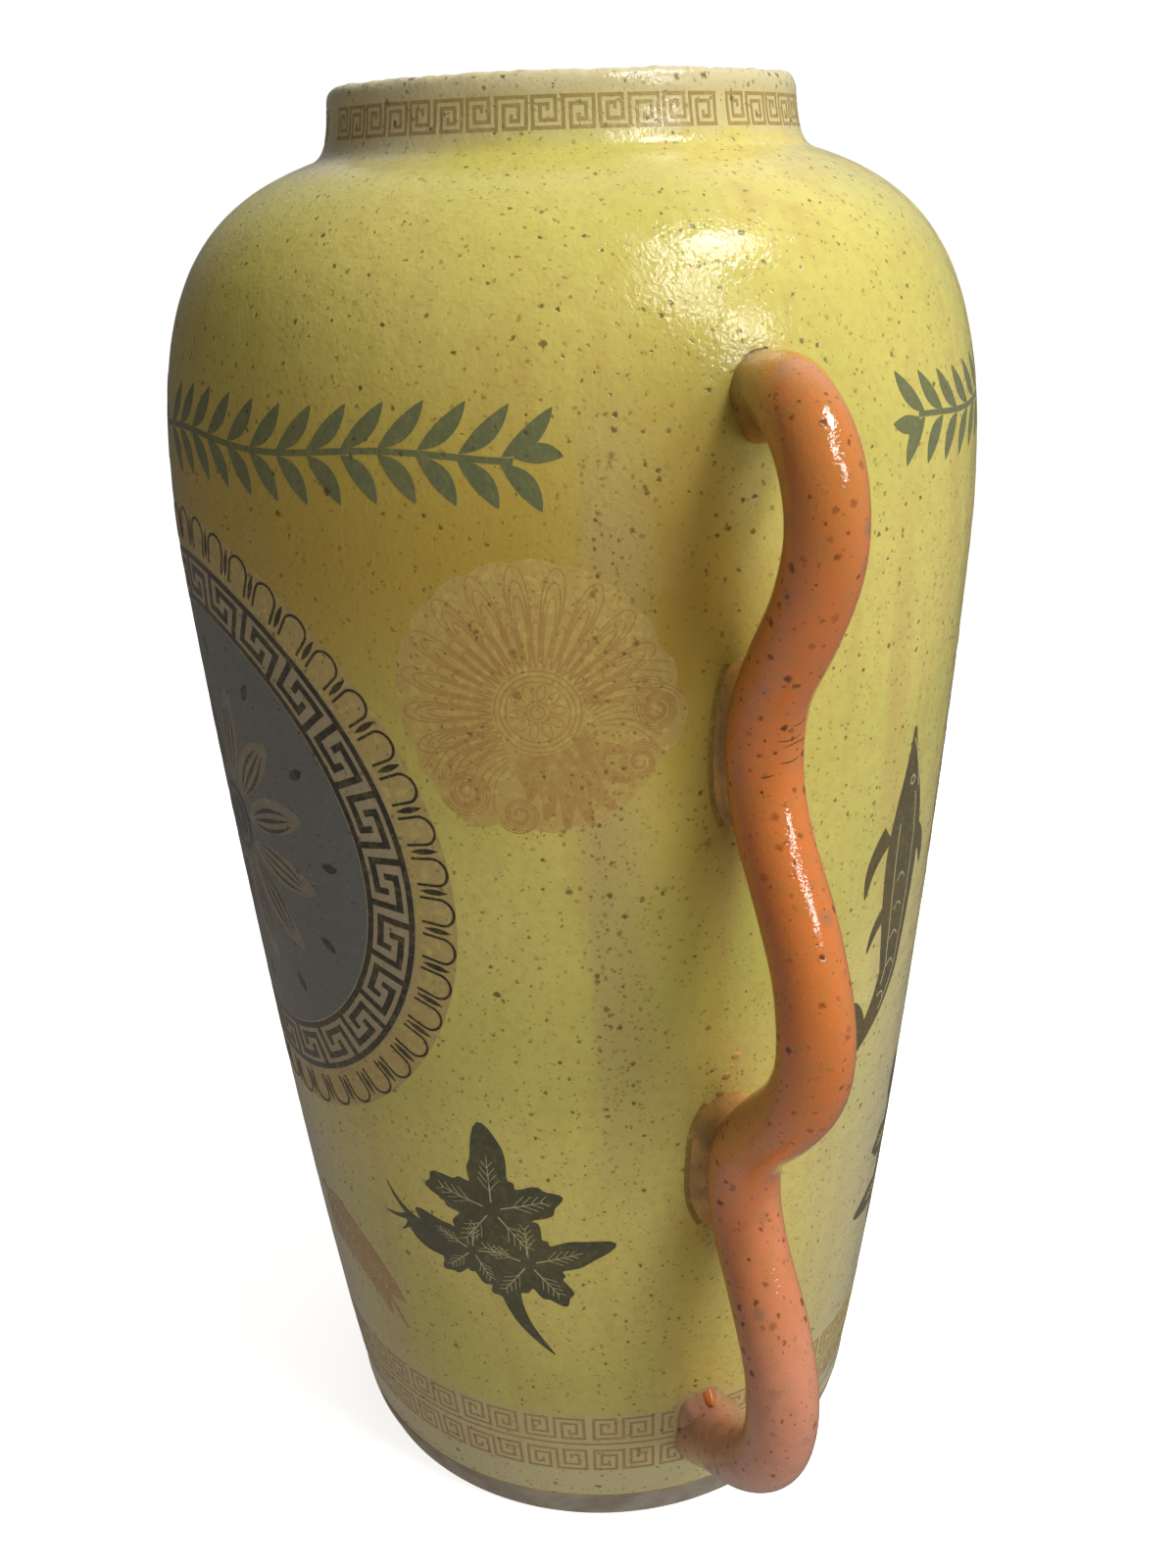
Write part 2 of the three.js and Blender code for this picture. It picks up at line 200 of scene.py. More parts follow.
class Studio(bpy.types.PropertyGroup):
    """The camera, the window light and the room."""
    camera_azimuth: angle("Camera azimuth", "Side of the pot that the camera stands on", -20.5)
    camera_distance: length("Camera distance", "From the pot's axis, level", 527.3 * MM)
    camera_height: length("Camera height", "Above the ground", 469.87 * MM)
    camera_tilt: angle("Camera tilt", "How far it looks down", 21.887)
    camera_turn: angle("Camera turn", "How far it looks past the axis", 0.12)
    camera_roll: angle("Camera roll", "How far it is rolled", -1.942)
    camera_lens: number("Focal length", "In millimetres on a frame 36 mm high", 34.875)
    window_azimuth: angle("Window azimuth", "Where the window stands", 45)
    window_elevation: angle("Window elevation", "How high its middle stands", 60.5)
    window_distance: length("Light distance", "From the middle of the pot to each light", 1.5)
    window_width: length("Window width", "Width of the light", 0.48)
    window_height: length("Window height", "Height of the light", 0.37)
    window_power: number("Window power", "Watts", 8.5)
    pane_azimuth: angle("Pane azimuth", "Where the narrow side pane stands", 18)
    pane_elevation: angle("Pane elevation", "How high its middle stands", 47)
    pane_width: length("Pane width", "Width of the side pane", 0.24)
    pane_height: length("Pane height", "Height of the side pane", 0.4)
    pane_power: number("Pane power", "Watts", 4.0)
    sill_azimuth: angle("Sill azimuth", "Where the low pane stands", 28)
    sill_elevation: angle("Sill elevation", "How high its middle stands", 30)
    sill_width: length("Sill width", "Width of the low pane", 0.3)
    sill_height: length("Sill height", "Height of the low pane", 0.28)
    sill_power: number("Sill power", "Watts", 3.0)
    ceiling_azimuth: angle("Ceiling light azimuth", "Side of the room that the bright ceiling is on", 90)
    ceiling_elevation: angle("Ceiling light elevation", "How high its middle stands", 75)
    ceiling_width: length("Ceiling light width", "Width of the light", 1.2)
    ceiling_height: length("Ceiling light height", "Height of the light", 0.8)
    ceiling_power: number("Ceiling light power", "Watts", 9.5)
    fill_azimuth: angle("Fill azimuth", "Where the bright side of the room stands", 15)
    fill_elevation: angle("Fill elevation", "How high its middle stands", 0)
    fill_width: length("Fill width", "Width of the light", 1.6)
    fill_height: length("Fill height", "Height of the light", 0.55)
    fill_power: number("Fill power", "Watts", 10)
    bounce: number("Bounce", "Strength of the light from the table and the dark side of the room", 0.52)
    sheen: number("Side sheen", "Strength of the pale walls at both sides of the pot", 0.22)
    dimness: number("Room", "Strength of the even light from the rest of the room", 0.05)
    clutter: number("Clutter", "Share of the table's light that gloss doesn't see", 0.55)
    paper: paint("Paper", "The floor and the backdrop", "#f4f3f1")
    paper_shade: paint("Paper shade", "Faint patches in the paper", "#eeedea")
    paper_glow: number("Paper glow", "How far the paper looks overlit", 0.8)
    floor_radius: length("Floor radius", "Where the floor starts to rise", 1.9)
    cove_height: length("Cove height", "How high the backdrop rises", 2.6)


# The wall, as a function of the azimuth and the height

def around(count):
    """Angles of even steps round a circle."""
    return np.linspace(0, 2 * np.pi, count, endpoint=False)


def directions(turn):
    """Flat unit vectors at angles."""
    return np.stack([np.cos(turn), np.sin(turn)], 1)


def bezier(controls, count):
    """Points of a Bezier curve at even parameters, by repeated mixing of neighbouring control points."""
    share = np.linspace(0, 1, count)[:, None, None]
    level = np.array(controls, float)[None] * np.ones((count, 1, 1))
    while level.shape[1] > 1:
        level = level[:, :-1] * (1 - share) + level[:, 1:] * share
    return level[:, 0]


class Wall:
    """The outer wall: three Bezier curves end to end, with radius and outward normal as functions of
    height."""

    def __init__(self, body):
        self.body = body
        belly = BELLY_RADIUS, BELLY_HEIGHT
        root = body.neck_root_radius, SHOULDER_TOP
        lower = [(body.foot_top_radius, FOOT_TOP), (body.lower_swell_radius, body.lower_swell_height),
                 (BELLY_RADIUS, BELLY_HEIGHT - body.belly_fullness), belly]
        shoulder = [belly, (BELLY_RADIUS, BELLY_HEIGHT + body.shoulder_fullness),
                    (body.crown_radius, SHOULDER_TOP - body.crown_drop), root]
        neck = [root, (body.fillet_radius, SHOULDER_TOP + body.fillet_rise), (body.neck_radius, NECK_TOP)]
        line = np.concatenate([bezier(lower, 500), bezier(shoulder, 400)[1:], bezier(neck, 120)[1:]])
        self.radius, self.height = line.T
        run = np.gradient(line, axis=0)
        run /= np.linalg.norm(run, axis=1, keepdims=True)
        self.out, self.up = run[:, 1], -run[:, 0]
        self.along = np.concatenate([[0], np.cumsum(np.linalg.norm(np.diff(line, axis=0), axis=1))])

    def radius_at(self, height):
        """The outer radius, without the relief."""
        return np.interp(height, self.height, self.radius)

    def normal_at(self, height):
        """How far the normal points outwards and upwards."""
        return np.interp(height, self.height, self.out), np.interp(height, self.height, self.up)

    def relief(self, azimuth, height):
        """Throwing rings that climb a little, a slow oval warp, and the roll of glaze above the foot."""
        body = self.body
        climb = 2 * np.pi * height / body.ring_pitch + azimuth
        rings = body.ring_depth * np.sin(climb) * (0.6 + 0.4 * np.sin(0.37 * climb + 2 * azimuth))
        warp = body.warp * np.sin(2 * azimuth + 1.1) * np.sin(np.pi * np.clip(height / NECK_TOP, 0, 1))
        bead_height = FOOT_TOP + 1.6 * MM + 0.5 * MM * np.sin(5 * azimuth) * np.sin(3 * azimuth + 1)
        bead = body.bead * np.exp(-((height - bead_height) / (1.3 * MM)) ** 2)
        fade = np.clip((NECK_TOP - height) / (12 * MM), 0, 1)
        return (rings + warp) * fade - body.warp * fade + bead

    def point(self, azimuth, height, lift=0.0):
        """The wall's point at an azimuth and a height, moved out along its normal by lift."""
        azimuth, height, lift = np.broadcast_arrays(azimuth, height, lift)
        out, up = self.normal_at(height)
        reach = self.radius_at(height) + self.relief(azimuth, height) + lift * out
        return np.stack([reach * np.cos(azimuth), reach * np.sin(azimuth), height + lift * up], -1)

    def normal(self, azimuth, height):
        """Outward normal with the relief in it: the cross product of a step round and a step up."""
        step = 0.25 * MM
        round_step = step / BELLY_RADIUS
        sideways = self.point(azimuth + round_step, height) - self.point(azimuth - round_step, height)
        upward = self.point(azimuth, height + step) - self.point(azimuth, height - step)
        normal = np.cross(sideways, upward)
        return normal / np.linalg.norm(normal, axis=-1, keepdims=True)

    def rows(self, bottom, top, step):
        """Radii and heights from bottom to top, evenly spaced along the wall."""
        first, last = np.interp([bottom, top], self.height, self.along)
        places = np.linspace(first, last, max(int(round((last - first) / step)), 2) + 1)
        heights = np.interp(places, self.along, self.height)
        heights[0], heights[-1] = bottom, top
        return np.stack([self.radius_at(heights), heights], 1)

    def inner_rows(self, bottom, top, step):
        """The inner face: the outer rows moved in along their normals, then read back at even heights."""
        thick = self.body.wall
        inside = np.stack([self.radius - thick * self.out, self.height - thick * self.up], 1)
        inside = inside[np.concatenate([[True], np.diff(np.maximum.accumulate(inside[:, 1])) > 0])]
        heights = np.linspace(bottom, top, max(int(round((top - bottom) / step)), 2) + 1)
        return np.stack([np.interp(heights, inside[:, 1], inside[:, 0]), heights], 1)

    def place(self, local, azimuth, height, lift):
        """Points drawn flat, x to the right and y up, laid on the wall round an azimuth and a height."""
        at = height + local[..., 1]
        return self.point(azimuth + local[..., 0] / self.radius_at(at), at, lift)


# Meshes

def grid_faces(rows, columns, wrap_rows=False, wrap_columns=False):
    """Quads between neighbours of a grid of points that are counted row by row."""
    i, j = np.meshgrid(np.arange(rows if wrap_rows else rows - 1),
                       np.arange(columns if wrap_columns else columns - 1), indexing="ij")
    i2, j2 = (i + 1) % rows, (j + 1) % columns
    corners = [i * columns + j, i2 * columns + j, i2 * columns + j2, i * columns + j2]
    return np.stack(corners, -1).reshape(-1, 4)


# Angles in degrees past which an edge is drawn sharp
SHARP_WALL, SHARP_PRINT, SHARP_ROUND, SHARP_WAD = 35, 40, 60, 70


def make_piece(name, points, faces, material, nodes=(), sharp=SHARP_PRINT):
    """A mesh object from points and from arrays of quads and triangles, riding on the pot."""
    mesh = bpy.data.meshes.new(name)
    points = np.asarray(points, np.float32).reshape(-1, 3)
    loops = np.concatenate([f.reshape(-1) for f in faces]).astype(np.int32)
    sizes = np.concatenate([np.full(len(f), f.shape[1]) for f in faces])
    mesh.vertices.add(len(points))
    mesh.vertices.foreach_set("co", points.reshape(-1))
    mesh.loops.add(len(loops))
    mesh.loops.foreach_set("vertex_index", loops)
    mesh.polygons.add(len(sizes))
    mesh.polygons.foreach_set("loop_start", np.concatenate([[0], np.cumsum(sizes)[:-1]]).astype(np.int32))
    mesh.update(calc_edges=True)
    mesh.polygons.foreach_set("use_smooth", np.ones(len(sizes), bool))
    mesh.set_sharp_from_angle(angle=math.radians(sharp))
    mesh.materials.append(material)
    piece = bpy.data.objects.new(name, mesh)
    bpy.context.scene.collection.objects.link(piece)
    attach(piece, "root")
    if nodes:
        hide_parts(*nodes)
    return piece


def store(piece, name, values):
    """A number at each point of a piece, for its material to read."""
    attribute = piece.data.attributes.new(name, "FLOAT", "POINT")
    attribute.data.foreach_set("value", np.asarray(values, np.float32).reshape(-1))


def tangle(x, y, seed=0.0):
    """A soft irregular wave between about -1 and 1: four sines with no common period."""
    return (np.sin(x + 1.7 * y + seed) + np.sin(1.618 * x - 0.9 * y + 2.3 * seed + 1)
            + np.sin(-0.73 * x + 2.1 * y + 0.7 * seed + 2) + np.sin(2.41 * x + 0.4 * y + 1.9 * seed)) / 3


class Shell:
    """Collects closed thin slabs into one mesh. A slab is a grid of top points over a grid of bottom
    points."""

    def __init__(self):
        self.points, self.faces, self.count = [], {3: [], 4: []}, 0

    def add(self, points, *faces):
        """Takes in points, and faces that count from the first of them."""
        self.points.append(points.reshape(-1, 3))
        for some in faces:
            self.faces[some.shape[1]].append(some + self.count)
        self.count += len(self.points[-1])

    def slab(self, top, bottom, closed=False):
        """Top and bottom grids joined along their edges. Closed means that the last row meets the first."""
        rows, columns = top.shape[:2]
        upper = grid_faces(rows, columns, wrap_rows=closed)
        below = rows * columns
        i = np.arange(rows if closed else rows - 1)
        i2 = (i + 1) % rows
        left, right = i * columns + columns - 1, i * columns
        left2, right2 = i2 * columns + columns - 1, i2 * columns
        sides = [upper, upper[:, ::-1] + below,
                 np.stack([left, left2, left2 + below, left + below], 1),
                 np.stack([right2, right, right + below, right2 + below], 1)]
        if not closed:
            j = np.arange(columns - 1)
            end = (rows - 1) * columns + j
            sides += [np.stack([j, j + 1, j + 1 + below, j + below], 1),
                      np.stack([end + 1, end, end + below, end + 1 + below], 1)]
        self.add(np.concatenate([top.reshape(-1, 3), bottom.reshape(-1, 3)]), *sides)

    def polar_slab(self, top, bottom, top_middle, bottom_middle):
        """Rings of points round a middle, above and below, joined along the outermost ring."""
        rings, columns = top.shape[:2]
        upper = grid_faces(rings, columns, wrap_columns=True)
        below = rings * columns
        j = np.arange(columns)
        j2 = (j + 1) % columns
        outer = (rings - 1) * columns
        middle = 2 * below
        self.add(np.concatenate([top.reshape(-1, 3), bottom.reshape(-1, 3), [top_middle, bottom_middle]]),
                 upper, upper[:, ::-1] + below,
                 np.stack([outer + j2, outer + j, outer + j + below, outer + j2 + below], 1),
                 np.stack([np.full(columns, middle), j, j2], 1),
                 np.stack([np.full(columns, middle + 1), j2 + below, j + below], 1))

    def piece(self, name, material, slot, nodes=(), sharp=SHARP_PRINT):
        """All slabs so far as one mesh object."""
        faces = [np.concatenate(some) for some in self.faces.values() if some]
        return make_piece(name, np.concatenate(self.points), faces, material, nodes, sharp)


# Printed and painted lines

PRINT_LIFT = 0.07 * MM
PRINT_ROOT = -0.25 * MM
LAYER = 0.003 * MM
LAYERS = 9


def refined(path, step):
    """A polyline with more points, so that no two lie further apart than a step. Corners are kept."""
    parts = []
    for start, end in zip(path[:-1], path[1:]):
        count = max(int(np.ceil(np.linalg.norm(end - start) / step)), 1)
        parts.append(start + (end - start) * (np.arange(count) / count)[:, None])
    return np.concatenate([*parts, path[-1:]])


def ribbon(path, width, across=2, closed=False):
    """Grid over a line: each point moves along its own mitred normal, from right to left."""
    if closed:
        before, after = path - np.roll(path, 1, 0), np.roll(path, -1, 0) - path
    else:
        steps = np.diff(path, axis=0)
        before, after = np.concatenate([steps[:1], steps]), np.concatenate([steps, steps[-1:]])
    before = before / np.linalg.norm(before, axis=1, keepdims=True)
    after = after / np.linalg.norm(after, axis=1, keepdims=True)
    run = before + after
    run /= np.maximum(np.linalg.norm(run, axis=1, keepdims=True), 1e-9)
    mitre = 1 / np.maximum((run * after).sum(1), 0.5)
    normal = np.stack([-run[:, 1], run[:, 0]], 1) * mitre[:, None]
    side = np.linspace(-0.5, 0.5, across)
    reach = np.broadcast_to(width, len(path))[:, None] * side[None]
    return path[:, None] + normal[:, None] * reach[..., None]


class Print:
    """A printed figure: strokes and blobs drawn flat in metres, laid on the wall as one thin closed skin."""

    def __init__(self, wall, lift=PRINT_LIFT):
        self.wall, self.shell, self.lift, self.layer = wall, Shell(), lift, 0
        self.azimuth, self.height = 0.0, 0.0

    def at(self, azimuth, height):
        """Moves to a place on the wall, where the next figures have their origin."""
        self.azimuth, self.height = azimuth, height
        return self

    def laid(self, points, depth):
        """Flat points on the wall, at a depth."""
        return self.wall.place(points, self.azimuth, self.height, depth)

    def next_lift(self):
        """A slightly different lift for each stroke, so that strokes that cross don't share a surface."""
        self.layer += 1
        return self.lift + LAYER * (self.layer % LAYERS)

    def stroke(self, path, width, across=2, closed=False):
        """A line drawn with a width, one for all of it or one for each point."""
        grid = ribbon(np.asarray(path, float), width, across, closed)
        self.shell.slab(self.laid(grid, self.next_lift()), self.laid(grid, PRINT_ROOT), closed)

    def blob(self, outline, centre=(0, 0), rings=5):
        """A filled outline, star-shaped about its centre: the outline, and smaller copies of it inside."""
        share = (np.arange(1, rings + 1) / rings)[:, None, None]
        middle = np.array(centre, float)
        grid = middle + (np.asarray(outline, float) - middle)[None] * share
        lift = self.next_lift()
        self.shell.polar_slab(*(self.laid(points, depth) for points in (grid, middle)
                                for depth in (lift, PRINT_ROOT)))

    def finish(self, name, kind):
        """Makes the piece in one of the inks, with the wall's iron in it."""
        store_iron(self.shell.piece(name, surface(kind), "yellow_glaze"))


def turned_by(points, turn, centre=(0, 0)):
    """Flat points turned to the left about a centre."""
    c, s = math.cos(turn), math.sin(turn)
    return np.asarray(points, float) @ np.array([[c, s], [-s, c]]) + np.array(centre, float)


def petal_width(share, fullness=0.75):
    """Width of a leaf along its length: a sine, fattened, with pointed ends."""
    return np.maximum(np.sin(np.pi * share) ** fullness, 0.03)


def arc(start, end, bend, count):
    """A curved line between two points that swings out sideways by bend, as a half sine."""
    start, end = np.array(start, float), np.array(end, float)
    share = np.linspace(0, 1, count)[:, None]
    run = end - start
    side = np.array([-run[1], run[0]]) / max(np.linalg.norm(run), 1e-9)
    return start + run * share + side * bend * np.sin(np.pi * share)


# Materials

def add_node(tree, kind, inputs=None, output=0, **settings):
    """Adds a node with its settings and links, and returns one of its outputs. The kind is Blender's own name
    after ShaderNode, and an input is a value or another node's output."""
    node = tree.nodes.new("ShaderNode" + kind)
    for name, value in settings.items():
        setattr(node, name, value)
    for socket, value in (inputs or {}).items():
        if isinstance(value, bpy.types.NodeSocket):
            tree.links.new(value, node.inputs[socket])
        else:
            node.inputs[socket].default_value = value
    return node.outputs[output]


def finished(material, colour, bump):
    """Links a material's colour and bump to its shader, and returns the material."""
    tree = material.node_tree
    shader = tree.nodes["Principled BSDF"]
    tree.links.new(colour, shader.inputs["Base Color"])
    tree.links.new(bump, shader.inputs["Normal"])
    return material


def start_material(name, roughness, ior=1.5):
    """A new material, its shader with these numbers on its own sockets, its tree, and object coordinates."""
    material = bpy.data.materials.new(name)
    material.use_nodes = True
    tree = material.node_tree
    shader = tree.nodes["Principled BSDF"]
    shader.inputs["Roughness"].default_value = roughness
    shader.inputs["IOR"].default_value = ior
    return material, shader, tree, add_node(tree, "TexCoord", output="Object")


def rgba(colour):
    """A colour with full opacity."""
    return (*colour, 1)


def coats(tree, colour, *layers):
    """Thin coats over a colour. Each is a factor, a colour and perhaps a strength, and covers what lies below
    it by the factor times the strength."""
    for factor, over, *strength in layers:
        if strength:
            factor = add_node(tree, "Math", {0: factor, 1: strength[0]}, operation="MULTIPLY")
        colour = add_node(tree, "Mix", {0: factor, 6: colour, 7: rgba(over)}, 2, data_type="RGBA")
    return colour


def patches(tree, at, wavelength, detail, start, end, low_value=0.0, high_value=1.0, roughness=0.5):
    """Soft patches about a wavelength across, in metres: noise, and a smooth step from start to end that
    turns it into numbers from the low to the high value."""
    inputs = {"Vector": at, "Scale": 1 / wavelength, "Detail": detail, "Roughness": roughness}
    lumps = add_node(tree, "TexNoise", inputs)
    inputs = {"Value": lumps, "From Min": start, "From Max": end, "To Min": low_value, "To Max": high_value}
    return add_node(tree, "MapRange", inputs, interpolation_type="SMOOTHSTEP")


def uneven_height(tree, at, wavelength, detail, sway):
    """The height plus the sway times noise less a half, so that what follows it has a wavering edge."""
    lumps = add_node(tree, "TexNoise", {"Vector": at, "Scale": 1 / wavelength, "Detail": detail})
    centred = add_node(tree, "Math", {0: lumps, 1: 0.5}, operation="SUBTRACT")
    swayed = add_node(tree, "Math", {0: centred, 1: sway}, operation="MULTIPLY")
    height = add_node(tree, "SeparateXYZ", {0: at}, "Z")
    return add_node(tree, "Math", {0: height, 1: swayed}, operation="ADD")


def specks(tree, at, spacing, radius, place=None, swell=0.0):
    """Specks of uneven size and depth, one in each Voronoi cell: up to 1 in the middle of a speck and 0
    outside it. A place moves the cells, so that two sets of specks don't fall together, and a swell, a number
    per point, makes the specks larger, so that more of them show."""
    if place:
        at = add_node(tree, "Mapping", {"Vector": at, "Location": place})
    cells = add_node(tree, "TexVoronoi", {"Vector": at, "Scale": 1 / spacing}, "Color")
    chance = add_node(tree, "SeparateColor", {0: cells})
    largest = radius / spacing
    size = add_node(tree, "MapRange", {"Value": chance, "To Min": 0.25 * largest, "To Max": largest},
                    interpolation_type="SMOOTHSTEP")
    grown = add_node(tree, "Math", {0: swell, 1: 1.0}, operation="ADD")
    size = add_node(tree, "Math", {0: size, 1: grown}, operation="MULTIPLY")
    share = add_node(tree, "Math", {0: cells.node.outputs["Distance"], 1: size}, operation="DIVIDE")
    inside = add_node(tree, "MapRange", {"Value": share, "From Min": 1.0, "From Max": 0.4},
                      interpolation_type="SMOOTHSTEP")
    depth = add_node(tree, "MapRange", {"Value": chance.node.outputs[1], "To Min": 0.35},
                     interpolation_type="SMOOTHSTEP")
    return add_node(tree, "Math", {0: inside, 1: depth}, operation="MULTIPLY")


def ragged(tree, at):
    """Coordinates pushed about by some 0.4 mm, along noise with lumps 1.1 mm across, so that specks read as
    angular grains."""
    noise = add_node(tree, "TexNoise", {"Vector": at, "Scale": 1 / (1.1 * MM), "Detail": 1.0}, "Color")
    centred = add_node(tree, "VectorMath", {0: noise, 1: (0.5, 0.5, 0.5)}, operation="SUBTRACT")
    push = add_node(tree, "VectorMath", {0: centred, "Scale": 1.6 * MM}, operation="SCALE")
    return add_node(tree, "VectorMath", {0: at, 1: push}, operation="ADD")


def glaze_bump(tree, at, pits, depth=0.17 * MM, peel_width=1.5 * MM):
    """Orange peel, slower ripples about 9 mm across, and pits at the specks."""
    inputs = {"Vector": at, "Scale": 1 / peel_width, "Detail": 1.5, "Roughness": 0.45, "Distortion": 0.4}
    peel = add_node(tree, "TexNoise", inputs)
    beside = add_node(tree, "Mapping", {"Vector": at, "Location": (0.3, 0.1, 0.2)})
    ripple = add_node(tree, "TexNoise", {"Vector": beside, "Scale": 1 / (9 * MM), "Detail": 1.0})
    ripple = add_node(tree, "Math", {0: ripple, 1: 1.6}, operation="MULTIPLY")
    skin = add_node(tree, "Math", {0: peel, 1: ripple}, operation="ADD")
    pits = add_node(tree, "Math", {0: pits, 1: 0.8}, operation="MULTIPLY")
    height = add_node(tree, "Math", {0: skin, 1: pits}, operation="SUBTRACT")
    return add_node(tree, "Bump", {"Strength": 1.0, "Distance": depth, "Height": height})


def with_iron(tree, coordinates, colour, colours, strength=1.0):
    """Iron in the glaze: fine light specks, coarser dark ones up to 1.5 mm across, rare large ones, and dense
    grit where a streak was stored. Returns the colour, and the coarser specks for the bump."""
    at = ragged(tree, coordinates)
    streak = add_node(tree, "Attribute", output="Fac", attribute_name="iron")
    swell = add_node(tree, "Math", {0: streak, 1: 0.35}, operation="MULTIPLY")
    full = add_node(tree, "Math", {0: streak, 1: 1.0}, operation="MINIMUM")
    fine = specks(tree, at, 2.1 * MM, 0.72 * MM)
    coarse = specks(tree, at, 3.6 * MM, 1.02 * MM, (0.11, 0.37, 0.05), swell)
    large = specks(tree, at, 11 * MM, 1.7 * MM, (0.31, 0.07, 0.15))
    grit = specks(tree, at, 2.0 * MM, 0.85 * MM, (0.02, 0.27, 0.45))
    grit = add_node(tree, "Math", {0: grit, 1: full}, operation="MULTIPLY")
    coarser = add_node(tree, "Math", {0: coarse, 1: large}, operation="MAXIMUM")
    dark = add_node(tree, "Math", {0: coarser, 1: grit}, operation="MAXIMUM")
    colour = coats(tree, colour, (fine, colours.iron_halo, 0.75 * strength),
                   (dark, colours.iron, 0.8 * strength))
    return colour, coarser


def yellow_glaze(colours):
    """A speckled stoneware glaze, dipped and fired: lime yellow where it lies thick, tan where it ran thin,
    iron grit bleeding through it, and a slightly rippled, glossy skin. Painted shade darkens it under the
    shoulder and beside the handles, and a painted pale sheen and painted light lighten it low down to the
    right of each handle and on one side of the neck."""
    material, shader, tree, at = start_material("speckled_yellow_glaze", 0.24)
    drawn_down = add_node(tree, "Mapping", {"Vector": at, "Scale": (1, 1, 0.09)})
    # Painted shade: darker under the shoulder and beside the handles
    pooled = add_node(tree, "Attribute", output="Fac", attribute_name="pooled")
    iron = add_node(tree, "Attribute", output="Fac", attribute_name="iron")
    streak = add_node(tree, "Math", {0: iron, 1: 1.0}, operation="MINIMUM")
    # The attribute thin holds painted light: a pale sheen low on the right of each handle and a lit side of
    # the neck
    thin = add_node(tree, "Attribute", output="Fac", attribute_name="thin")
    worn = uneven_height(tree, at, 14 * MM, 3.0, 9 * MM)
    zones = []
    for start, end, cover, over in ((SHOULDER_TOP + 1 * MM, NECK_TOP - 7 * MM, 0.65, colours.neck),
                                    (NECK_TOP - 1 * MM, NECK_TOP + 4 * MM, 0.8, colours.rim),
                                    (75 * MM, 20 * MM, 0.75, colours.dull_glaze_and_sheen)):
        inputs = {"Value": worn, "From Min": start, "From Max": end, "To Max": cover}
        zones.append((add_node(tree, "MapRange", inputs, interpolation_type="SMOOTHSTEP"), over))
    colour = coats(
        tree, rgba(colours.glaze),
        (patches(tree, at, 95 * MM, 2.0, 0.35, 0.65), colours.glaze_green),
        (patches(tree, drawn_down, 16 * MM, 2.5, 0.5, 0.75, 0.0, 0.45), colours.glaze_tan),
        (patches(tree, at, 3.2 * MM, 3.0, 0.4, 0.7, 0.0, 0.3), colours.glaze_tan),
        # Painted shade
        (pooled, colours.painted_shade_cast),
        (streak, colours.streak, 0.55),
        *zones,
        # Painted sheen and painted light
        (thin, colours.dull_glaze_and_sheen, 0.9))
    colour, coarse = with_iron(tree, at, colour, colours)
    tree.links.new(patches(tree, at, 7 * MM, 3.0, 0.35, 0.65, 0.11, 0.24), shader.inputs["Roughness"])
    return finished(material, colour, glaze_bump(tree, at, coarse))


def orange_glaze(colours, name="glossy_orange_glaze", low_colour=None):
    """A thick, very glossy orange glaze: brown spots with soft rims, a few grey blooms, pinker and paler
    towards the foot, partly its own tone and partly a painted reflection of the white floor, and stained
    where yellow glaze ran into it, the stain partly painted shade near the wall."""
    material, _, tree, at = start_material(name, 0.04, 1.68)
    # The stain is partly yellow glaze run into the orange and partly painted shade on the coil near the wall
    # and on one side
    stored = add_node(tree, "Attribute", output="Fac", attribute_name="stain")
    broken = patches(tree, at, 6 * MM, 2.0, 0.2, 0.6, 0.6, 1.0)
    stain = add_node(tree, "Math", {0: stored, 1: broken}, operation="MULTIPLY")
    wavy = uneven_height(tree, at, 40 * MM, 2.0, 60 * MM)
    downwards = add_node(tree, "MapRange", {"Value": wavy, "From Min": 210 * MM, "From Max": 35 * MM},
                         interpolation_type="SMOOTHSTEP")
    grains = ragged(tree, at)
    coarse = specks(tree, grains, 4.8 * MM, 1.7 * MM, (0.05, 0.13, 0.31))
    colour = coats(
        tree, rgba(colours.orange),
        # Paler pink towards the foot: partly the glaze's tone, partly a painted reflection of the white floor
        (downwards, low_colour or colours.pink_orange_and_floor_sheen),
        (patches(tree, at, 5 * MM, 3.0, 0.42, 0.72, 0.0, 0.25), colours.orange_stain_and_shade),
        (stain, colours.orange_stain_and_shade),
        (specks(tree, grains, 12 * MM, 3.8 * MM, (0.21, 0.4, 0.3)), colours.orange_grey, 0.4),
        (specks(tree, grains, 2.6 * MM, 0.8 * MM), colours.orange_spot, 0.75),
        (coarse, colours.orange_spot, 0.95))
    return finished(material, colour, glaze_bump(tree, at, coarse, 0.12 * MM, 1.1 * MM))


def orange_drop(colours):
    """A drop that ran down late: the same glaze, bright orange all the way."""
    return orange_glaze(colours, "fresh_drop_of_orange_glaze", colours.orange)


def luting_glaze(colours):
    """Where the two glazes ran together over the luted clay: dull yellow, stained brown in patches, with pale
    broken edges."""
    material, _, tree, at = start_material("run_glaze_over_luting", 0.4)
    drawn_down = add_node(tree, "Mapping", {"Vector": at, "Scale": (1, 1, 0.2)})
    coarse = specks(tree, ragged(tree, at), 2.4 * MM, 0.8 * MM)
    colour = coats(
        tree, rgba(colours.lute),
        (patches(tree, at, 9 * MM, 3.0, 0.35, 0.65), colours.rust),
        (patches(tree, drawn_down, 2.6 * MM, 2.0, 0.6, 0.72, 0.0, 0.12), colours.rim),
        (coarse, colours.iron, 0.6))
    return finished(material, colour, glaze_bump(tree, at, coarse, 0.22 * MM))


